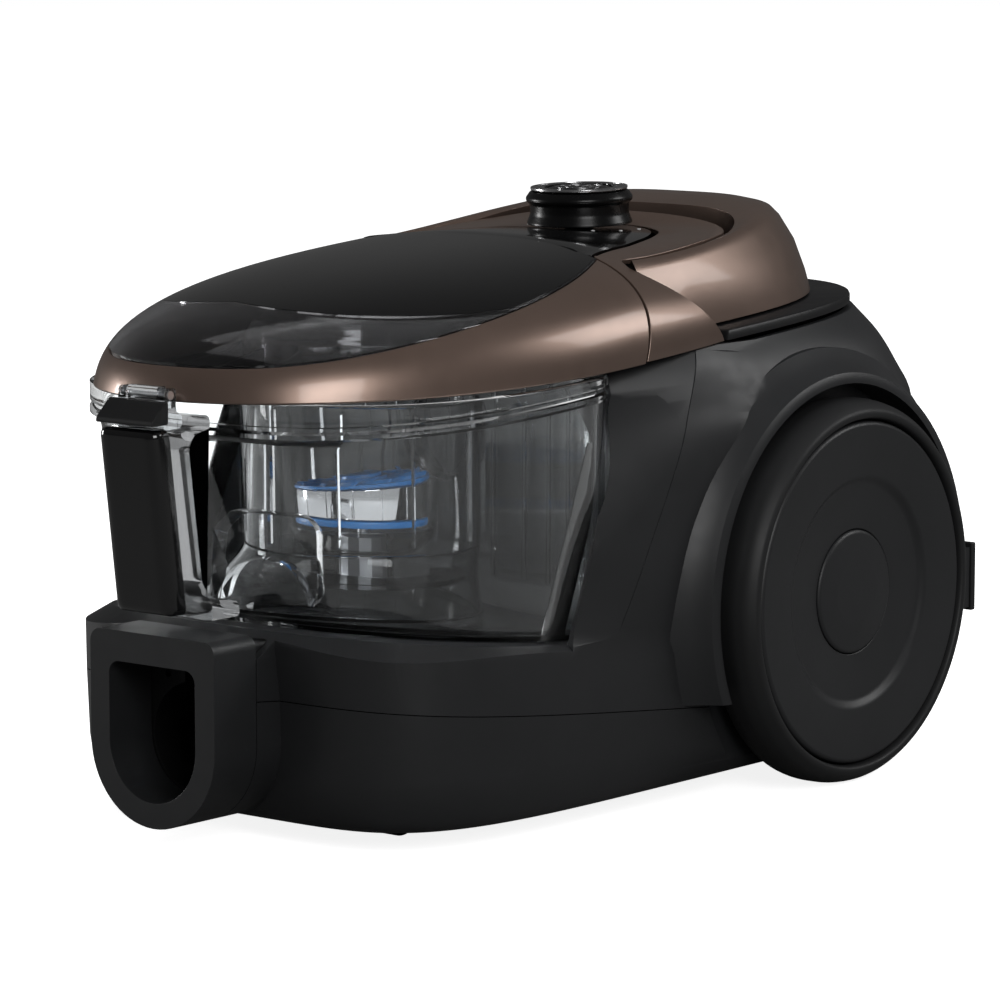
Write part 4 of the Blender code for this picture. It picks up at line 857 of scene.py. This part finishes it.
def build_lid_inside():
    """The dark inner plate, its ribs and the cyclone's cap, which show through the smoked window."""
    plan = outline(*mm(93, -20, -172, -14), LID_POWER, 6, count=96)
    plate = loft("lid_inner_plate", [ring_at(plan, edge_z, 1), ring_at(plan, edge_z, 2.8)])
    settle(plate, DARK, "lid", bevel=0.5)
    cap = soften([
        (0, 203), (30, 202.4), (44, 199), (47.5, 194), (48.5, 183), (45.5, 183), (44.5, 192), (40, 197.5),
        (0, 200)], 1.5, closed=False)
    settle(turned("cyclone_cap", cap, CYCLONE), CLEAR_INNER, "lid")
    for k in range(14):
        turn = radians(-150 + 300 * k / 13)
        out, side = spoke(turn - pi / 2)
        half = side * 0.8 * MM
        rings = []
        for r, top in ((49.5, 190), (62, 186), (76, 182)):
            p = Vector(CYCLONE) + out * r * MM
            if abs(p.x) > 86 * MM or p.y > -20 * MM:
                break
            low, high = up(edge_z(p.y) + 2.2 * MM), up(top * MM)
            rings.append([p - half + low, p + half + low, p + half + high, p - half + high])
        if len(rings) > 1:
            settle(loft(f"lid_rib_{k}", rings), DARK, "lid", bevel=0.2)


# ---- rear top
def half_width(y):
    return BIN_HALF - 0.0009 * (y / MM + 10) ** 2 * MM


def top_height(y):
    return 227.8 * MM - 0.012 * (y + 10 * MM)


def top_point(y, angle, side=1):
    """A point on the rear cover: angle runs from 0 at the lower edge to 90 degrees at the middle."""
    p = 2 / CROWN_POWER
    low = edge_z(y)
    x = half_width(y) * power(cos(angle), p)
    return Vector((side * x, y, low + (top_height(y) - low) * power(sin(angle), p)))


# y in millimetres and angle in degrees
COVER_INNER = [
    (0, 0), (0, 15), (0, 30), (0, 43), (2.6, 55.5), (5, 56.5), (9, 57.5), (20, 59.5),
    (35, 61.5), (48, 64), (66, 68), (84, 74), (93, 82), (95, 90)]
COVER_OUTER = [
    (45, 0), (32, 15), (18.5, 30.5), (10, 43), (10.5, 48), (13, 51), (19, 51.3),
    (30, 50.8), (46, 50.1), (62, 49.6), (80, 50.1), (94, 53.5), (102, 65), (104, 90)]
PANEL_LINE = [
    (2, 57), (5, 58), (9, 59), (14, 60), (20, 61), (27, 62), (35, 63),
    (48, 65.6), (66, 69.6), (81, 75.2), (89.5, 82.8), (92.5, 88)]
AT_LID = 4


def cover_lift(y, angle):
    """How far the cover's rear edge rises, to end level with the carry handle."""
    if angle < 45:
        return 0.0
    part = min(max((y - 15 * MM) / (75 * MM), 0), 1)
    return 5.4 * MM * part * part * (3 - 2 * part)


def build_rear_cover():
    steps = 6
    lines = list(zip(eased(COVER_OUTER, steps), eased(COVER_INNER, steps)))
    numbered = list(enumerate(lines))
    rows = []
    for side, part in ((1, numbered), (-1, numbered[-2::-1])):
        for k, ((outer_y, outer_angle), (inner_y, inner_angle)) in part:
            row = []
            for step in range(11):
                share = step / 10
                y = (outer_y + (inner_y - outer_y) * share) * MM
                point = top_point(y, radians(outer_angle + (inner_angle - outer_angle) * share), side)
                if k <= AT_LID * steps:
                    point.y = outer_y * MM * (1 - share) + (parting_y(point.z) + 0.8 * MM) * share
                point.z += (1 - share) * cover_lift(y, outer_angle)
                row.append(point)
            rows.append(row)
    settle(sheet("rear_cover_skin", rows, 2.2, (0, 40, 150)), BRONZE, "body", "rear_cover", 0.6, 40, 3)


def build_deck_wall():
    """The wall that closes the body under the rear cover's edge, seen when the carry handle is up."""
    line = eased(COVER_OUTER[5:], 4)
    rows = []
    for share in (0, 0.5, 1):
        row = []
        for side, points in ((1, line), (-1, line[-2::-1])):
            for y, degrees in points:
                point = top_point((y - 2.5) * MM, radians(min(degrees + 2.5, 90)), side)
                high = point.z + cover_lift(y * MM, degrees) - 3.6 * MM
                low = rim_z(point.y) - 0.6 * MM
                row.append((point.x, point.y, low + (high - low) * share))
        rows.append(row)
    wall = sheet("deck_wall", rows, 1.6, (0, 50, 195))
    combine(wall, [block("key_gap", (-12, 90, 181), (12, 112, 203.6))])
    settle(wall, DARK, "body")


def build_control_panel():
    rows = []
    columns = 40
    for k, (y, degrees) in enumerate(eased(PANEL_LINE, 4)):
        row = []
        for c in range(columns + 1):
            share = c / columns * 2 - 1
            angle = radians(90 - (90 - degrees) * abs(share))
            point = top_point(y * MM, angle, 1 if share >= 0 else -1)
            if k == 0:
                point.y = parting_y(point.z) + 0.8 * MM
            near = max(0, 1 - (point.y - front_y) / (16 * MM)) if k else 1.0
            point.z -= 2.2 * MM * near ** 2 * (1 - share ** 4)
            row.append(point)
        if k == 0:
            front_y = row[columns // 2].y
        rows.append(row)
    panel = sheet("control_fascia", rows, 2, (0, 40, 150))
    hole = turned("hole", [mm(0, 25), mm(7, 25), mm(7, -20), mm(0, -20)], KNOB, "Z", 48, tilt=KNOB_TILT)
    combine(panel, [hole], solver="EXACT")
    settle(panel, GLOSS, "body", "control_panel", 0.4, 40)
    for k in range(9):
        turn = radians(-40 + 220 * k / 8)
        middle = KNOB + Vector(mm(27 * cos(turn), 27 * sin(turn), 0))
        if middle.y > 92 * MM:
            continue
        top = top_height(middle.y)
        x = abs(middle.x) / half_width(middle.y)
        drop = (top - edge_z(middle.y)) * (1 - (1 - x ** CROWN_POWER) ** (1 / CROWN_POWER))
        middle.z = top - 0.16 * MM - drop
        dot = bar(f"dial_mark_{k}", (0.7 + 0.06 * k) * MM, middle, 0.35 * MM, "Z", 20)
        settle(dot, WHITE_INK, "body")


def bail(half_w, start, rear, n, count):
    """A line of points that runs back from one side, across the rear and forward to the other side."""
    points = []
    for i in range(count + 1):
        turn = pi * i / count
        points.append((half_w * power(cos(turn), 2 / n), start + (rear - start) * power(sin(turn), 2 / n)))
    return points


def pin_bore(sign, near, far):
    """A hole for the carry handle's pin on one side, between two distances from the middle."""
    start = (min(sign * near, sign * far) * MM, HANDLE_PIN_Y, HANDLE_PIN_Z)
    return bar("bore", 2.9 * MM, start, (far - near) * MM, "X", 32)


def build_handle():
    count = 96
    lines = [
        (87, 46, 171, 3), (86.4, 42, 170.8, 3), (85.5, 38, 170, 3), (83.2, 24.5, 166.5, 3),
        (80, 10, 161, 3), (78.4, 10.2, 155, 3.1), (76, 12, 146, 3.2), (73.6, 14.4, 132, 3.6),
        (71.5, 17, 119, 4), (72, 44, 124, 4)]
    plans = [bail(*mm(half_w, start, rear), n, count) for half_w, start, rear, n in lines]
    # the height at the ends and the rise of the arch, for the third to the last line but one
    heights = [(209.5, 13.5), (216, 17), (218.6, 17.9), (220, 18), (219.6, 17.8), (217.4, 17)]
    rings = []
    for k in range(count + 1):
        arch = sin(pi * k / count)
        low = rim_z(plans[0][k][1]) + 1.2 * MM
        tops = [low, low + 4.2 * MM, low + 9 * MM] + [(end + rise * arch) * MM for end, rise in heights]
        tops.append(rim_z(plans[-1][k][1]) + 8 * MM)
        rings.append([(*plan[k], z) for plan, z in zip(plans, tops)])
    handle = loft("carry_bail", rings)
    combine(handle, [pin_bore(1, 68, 78), pin_bore(-1, 68, 78)])
    settle(handle, BRONZE, "handle", "carry_handle", 1.2, 34, 4)


def build_tray():
    plans = (((97.5, 50, 47.5, 183), -4.2), ((97.5, 50, 47.5, 183), -1.6), ((97, 50.6, 48, 182.5), -0.5),
             ((96, 52, 49, 181.5), 0))
    tray = loft("rear_deck", [ring_at(outline(*mm(*plan), 6, 3.5), rim_z, rise) for plan, rise in plans])
    for _, sign in SIDES:
        ear = block("ear", (62, 24, 187), (67, 60, 191), sign)
        combine(ear, [block("post", (62, 25, 188), (67, 35, 215), sign)], "UNION")
        combine(tray, [ear], "UNION")
        combine(tray, [pin_bore(sign, 61, 68)])
    combine(tray, [
        block("rewind_hole", (-11.4, 99.6, 150), (11.4, 116.4, 230)),
        bar("shaft_hole", 16 * MM, mm(0, 66, 170), 50 * MM)])
    settle(tray, DARK, "body", "rear_tray", 0.4)


def on_knob(name, profile, look, body, stands_for=None, steps=128):
    """A turned piece on the leaning axis of the power knob."""
    settle(turned(name, profile, KNOB, "Z", steps, tilt=KNOB_TILT), look, body, stands_for)


def build_knob():
    dial = soften([
        (20.6, 14.6), (22.6, 11.8), (22.4, 10.2), (21, 9.2), (20.8, 5), (22.2, 1.4), (22.2, 0.6), (6, 0.6),
        (6, -18), (3.2, -18), (3.2, 7.6), (14.4, 7.6), (14.4, 14.6)], 1)
    on_knob("dial_body", dial, SATIN, "knob", "power_knob")
    ring = soften([(20.4, 16), (20.4, 15), (14.6, 15), (14.6, 16)], 0.3, 3)
    on_knob("dial_ring", ring, GLOSS, "knob", "knob_ring")
    rim = soften([(20.5, 16.2), (20.5, 15.2), (19.7, 15.2), (19.7, 16.2)], 0.2, 3)
    on_knob("dial_rim", rim, SILVER, "knob")
    rim = [mm(9.9, 16.2), mm(9.9, 15.4), mm(9.2, 15.4), mm(9.2, 16.2)]
    on_knob("push_rim", rim, SILVER, "power_button", steps=96)
    button = soften([
        (0, 16), (9, 15.9), (13, 15.6), (13.6, 14.8), (13.6, 10.2), (2.6, 10.2), (2.6, -20), (0, -20)],
        0.5, 3, False)
    on_knob("power_push", button, SATIN, "power_button", "power_button", steps=96)
    world = Matrix.Translation(KNOB) @ KNOB_TILT
    section = [mm(5, 15.86), mm(6.3, 15.86), mm(6.3, 16.12), mm(5, 16.12)]
    mark = []
    for k in range(33):
        out, _ = spoke(radians(125 + 290 * k / 32))
        mark.append([world @ (out * r + up(h)) for r, h in section])
    settle(loft("power_symbol_arc", mark), SILVER, "power_button")
    dash = block("power_symbol_bar", (-0.6, 1.6, 15.86), (0.6, 7.4, 16.12))
    dash.data.transform(world)
    settle(dash, SILVER, "power_button")


# ---- the bin's grip
def grip_row(depth, half, trim, corner):
    """A rounded oblong across the leaning grip, depth behind its front face, from values in millimetres."""
    length = 72
    points = []
    for side, end, first in ((1, 1, 0), (-1, 1, 90), (-1, 0, 180), (1, 0, 270)):
        for step in range(7):
            turn = radians(90 * step / 6 + first)
            if end:
                along = 1 - (trim + corner * (1 - sin(turn))) / length
            else:
                along = (trim + corner * (1 + sin(turn))) / length
            x = side * (half - corner) + corner * cos(turn)
            points.append(mm(x, -194 + depth - 9 * along, 94 + length * along))
    return points


def hinge_bore(half):
    return bar("bore", 2.2 * MM, (-half * MM, LID_PIN.y, LID_PIN.z), 2 * half * MM, "X", 32)


def build_grip():
    steps = [(0, 10.2, 3.2, 2), (0.25, 11.6, 2, 2.4), (1, 13.2, 0.9, 2.8), (2.2, 14.3, 0.3, 3),
             (4, 15, 0, 3), (9, 15, 0, 3)]
    cover = loft("grip_fascia", [grip_row(*row) for row in eased(steps, 3)])
    settle(cover, GLOSS, "bin", "grip_cover", 0, 34)
    frame_side = soften([
        (-193.6, 166.6), (-184.4, 94), (-170, 89.6), (-151.5, 89.6), (-153, 96), (-166, 97.5),
        (-173, 104), (-180, 158), (-176, 163), (-168, 163), (-168, 169), (-186.8, 171),
        (-186.8, 180.2), (-187.6, 181), (-192, 181), (-193, 180)], 3, 5)
    bracket = prism("grip_frame", frame_side, -12 * MM, 12 * MM, "X")
    combine(bracket, [block("slot", (-8, -195, 173), (8, -186, 183)), hinge_bore(13)])
    settle(bracket, BRACKET, "bin", "grip_bracket", 0.6, 40)
    knuckle_side = soften([
        (-192.4, 175.6), (-187.4, 175.6), (-187.4, 181), (-188.2, 181.6), (-191.6, 181.6),
        (-192.4, 181)], 0.9)
    knuckle = prism("hinge_knuckle", knuckle_side, -7.6 * MM, 7.6 * MM, "X")
    combine(knuckle, [hinge_bore(9)])
    settle(knuckle, CLEAR, "lid", "lid_hinge_knuckle", 0.3, 40)
    pad_side = soften([
        (-202.8, 167.6), (-193.8, 167.9), (-193.8, 176.6), (-195.4, 176.4), (-202.6, 169.6)], 1)
    pad = prism("push_pad", pad_side, -14.6 * MM, 14.6 * MM, "X")
    settle(pad, DARK, "release_button", "release_button", 1.6, 40, 4)


def build_small_parts():
    for side, sign in SIDES:
        foot = block(f"rear_pad_{side}", (101, 199.9, 59), (117, 203, 88.6), sign)
        settle(foot, RUBBER, "body", f"rear_foot_{side}", 0.8, segments=3)
    button = block("rewind_key", (-11, 100, 186), (11, 116, 203))
    settle(button, GLOSS, "rewind_button", "rewind_button", 1, segments=3)
    grille = block("exhaust_louvre", (-45, 184.6, 90), (45, 194.6, 150))
    lows = [95 + 7.6 * k for k in range(7)]
    combine(grille, [block("slot", (-40, 178, low), (40, 204, low + 4.4)) for low in lows])
    settle(grille, CHARCOAL, "body", "exhaust_grille", 0.7, segments=3)


def build_bin_ribs():
    """Upright ribs on the bin's rear wall, which show through the bin."""
    section = ((-0.8, 0), (0.8, 0), (0.8, 1), (-0.8, 1))
    for k in range(15):
        turn = radians(-63 + 9 * k)
        x = 98.6 * MM * power(sin(turn), 2 / BIN_POWER)
        y = BIN_Y + 31.2 * MM * power(cos(turn), 2 / BIN_POWER)
        if abs(x) < 24 * MM:
            continue
        rings = [[(x + dx * MM, y + dy * MM, z) for dx, dy in section] for z in mm(86, 130, 174)]
        settle(loft(f"bin_rear_rib_{k}", rings), CLEAR_INNER, "bin")


# ---- stage, light and camera
WHITE = (1.0, 1.0, 1.0, 1.0)
# how bright the stage is behind clear plastic, once a ray has been reflected
AFTER_REFLECTION = 0.42


def reckon(tree, operation, first, second):
    made = add_node(tree, "ShaderNodeMath", {0: first, 1: second}, operation=operation)
    return made.outputs["Value"]


def straight_rays(tree, path):
    """One for rays straight from the camera or through clear plastic, less after any reflection."""
    unbent = reckon(tree, "LESS_THAN", path.outputs["Glossy Depth"], 0.5)
    least = reckon(tree, "MAXIMUM", unbent, AFTER_REFLECTION)
    through = reckon(tree, "MULTIPLY", path.outputs["Is Transmission Ray"], least)
    return reckon(tree, "MAXIMUM", path.outputs["Is Camera Ray"], through)


def build_floor():
    shape = bmesh.new()
    bmesh.ops.create_circle(shape, cap_ends=True, radius=12.0, segments=96)
    floor = place(shape, "studio_floor")
    made, tree, shader = new_material("studio_paper")
    tone = two_tone(tree, noise(tree, 0.8, 2.0), (0.86, 0.86, 0.86), (0.88, 0.88, 0.88))
    connect(tree, shader, {"Base Color": tone, "Roughness": 0.7, "Specular IOR Level": 0.1})
    bright = add_node(tree, "ShaderNodeEmission", {"Color": WHITE, "Strength": 0.86})
    both = add_node(tree, "ShaderNodeAddShader", {0: shader.outputs["BSDF"], 1: bright.outputs["Emission"]})
    dim = add_node(tree, "ShaderNodeBsdfDiffuse", {"Color": (0.16, 0.16, 0.16, 1.0)})
    pick = add_node(tree, "ShaderNodeMixShader", {
        "Fac": straight_rays(tree, add_node(tree, "ShaderNodeLightPath")),
        1: dim.outputs["BSDF"], 2: both.outputs["Shader"]})
    tree.links.new(pick.outputs["Shader"], tree.nodes["Material Output"].inputs["Surface"])
    floor.data.materials.append(made)


def build_world():
    world = bpy.data.worlds.new("studio")
    scene.world = world
    world.use_nodes = True
    tree = world.node_tree
    path = add_node(tree, "ShaderNodeLightPath")
    source = tree.nodes["Background"]
    connect(tree, source, {"Color": WHITE, "Strength": 0.26})
    source = source.outputs["Background"]
    for pick, strength in ((path.outputs["Is Glossy Ray"], 0.07), (straight_rays(tree, path), 1.0)):
        shade = add_node(tree, "ShaderNodeBackground", {"Color": WHITE, "Strength": strength})
        mix = add_node(tree, "ShaderNodeMixShader", {"Fac": pick, 1: source, 2: shade.outputs["Background"]})
        source = mix.outputs["Shader"]
    tree.links.new(source, tree.nodes["World Output"].inputs["Surface"])


def build_lamps():
    lamps = (
        # name, where, aimed at, size across and along, power, seen in reflections
        ("top_softbox", (0.1, 0.3, 2.2), (0, 0, 0.1), (2.4, 2.0), 34.0, False),
        ("left_strip", (-1.9, -0.6, 0.32), (0, 0, 0.12), (0.3, 0.6), 12.0, True),
        ("right_softbox", (1.7, -1.1, 1.0), (0, 0, 0.12), (0.9, 0.9), 16.0, True),
        ("rear_right_softbox", (1.3, 1.5, 1.2), (0, 0.05, 0.15), (0.8, 0.8), 10.0, True),
        ("high_strip", (-0.7, 0.6, 1.7), (0, 0, 0.2), (1.2, 0.3), 2.6, False),
    )
    for name, where, aim, size, watts, mirrored in lamps:
        data = bpy.data.lights.new(name, "AREA")
        data.shape = "RECTANGLE"
        data.size, data.size_y = size
        data.energy = watts
        lamp = bpy.data.objects.new(name, data)
        lamp.location = where
        lamp.rotation_euler = (Vector(aim) - Vector(where)).to_track_quat("-Z", "Y").to_euler()
        lamp.visible_glossy = mirrored
        scene.collection.objects.link(lamp)


def build_camera():
    azimuth, elevation = radians(39.454), radians(7.879)
    distance = 1.9
    target = Vector(mm(0, 10, 110))
    back = Vector((sin(azimuth) * cos(elevation), -cos(azimuth) * cos(elevation), sin(elevation)))
    right = Vector((cos(azimuth), sin(azimuth), 0))
    turn = Matrix((right, back.cross(right), back)).transposed().to_4x4()
    data = bpy.data.cameras.new("camera")
    data.lens = 165.1
    data.sensor_width = 36
    data.shift_x = 0.0178
    data.shift_y = 0.0164
    camera = bpy.data.objects.new("camera", data)
    camera.matrix_world = Matrix.Translation(target + back * distance) @ turn
    scene.collection.objects.link(camera)
    scene.camera = camera
    scene.view_settings.view_transform = "Standard"


for node, piece in frame["nodes"].items():
    piece.data.materials.clear()
    piece.data.materials.append(LOOKS[SLOT_OF[node]])

build_camera()
build_floor()
build_world()
build_lamps()
build_base_pan()
build_upper_housing()
build_inlet()
for side, sign in SIDES:
    build_wheel(side, sign)
    build_caster(side, sign)
build_bin()
build_bin_mask()
build_cyclone()
build_scoop()
build_cyclone_ribs()
build_turbine()
build_lid()
build_lid_inside()
build_rear_cover()
build_deck_wall()
build_control_panel()
build_handle()
build_tray()
build_knob()
build_grip()
build_small_parts()
build_bin_ribs()
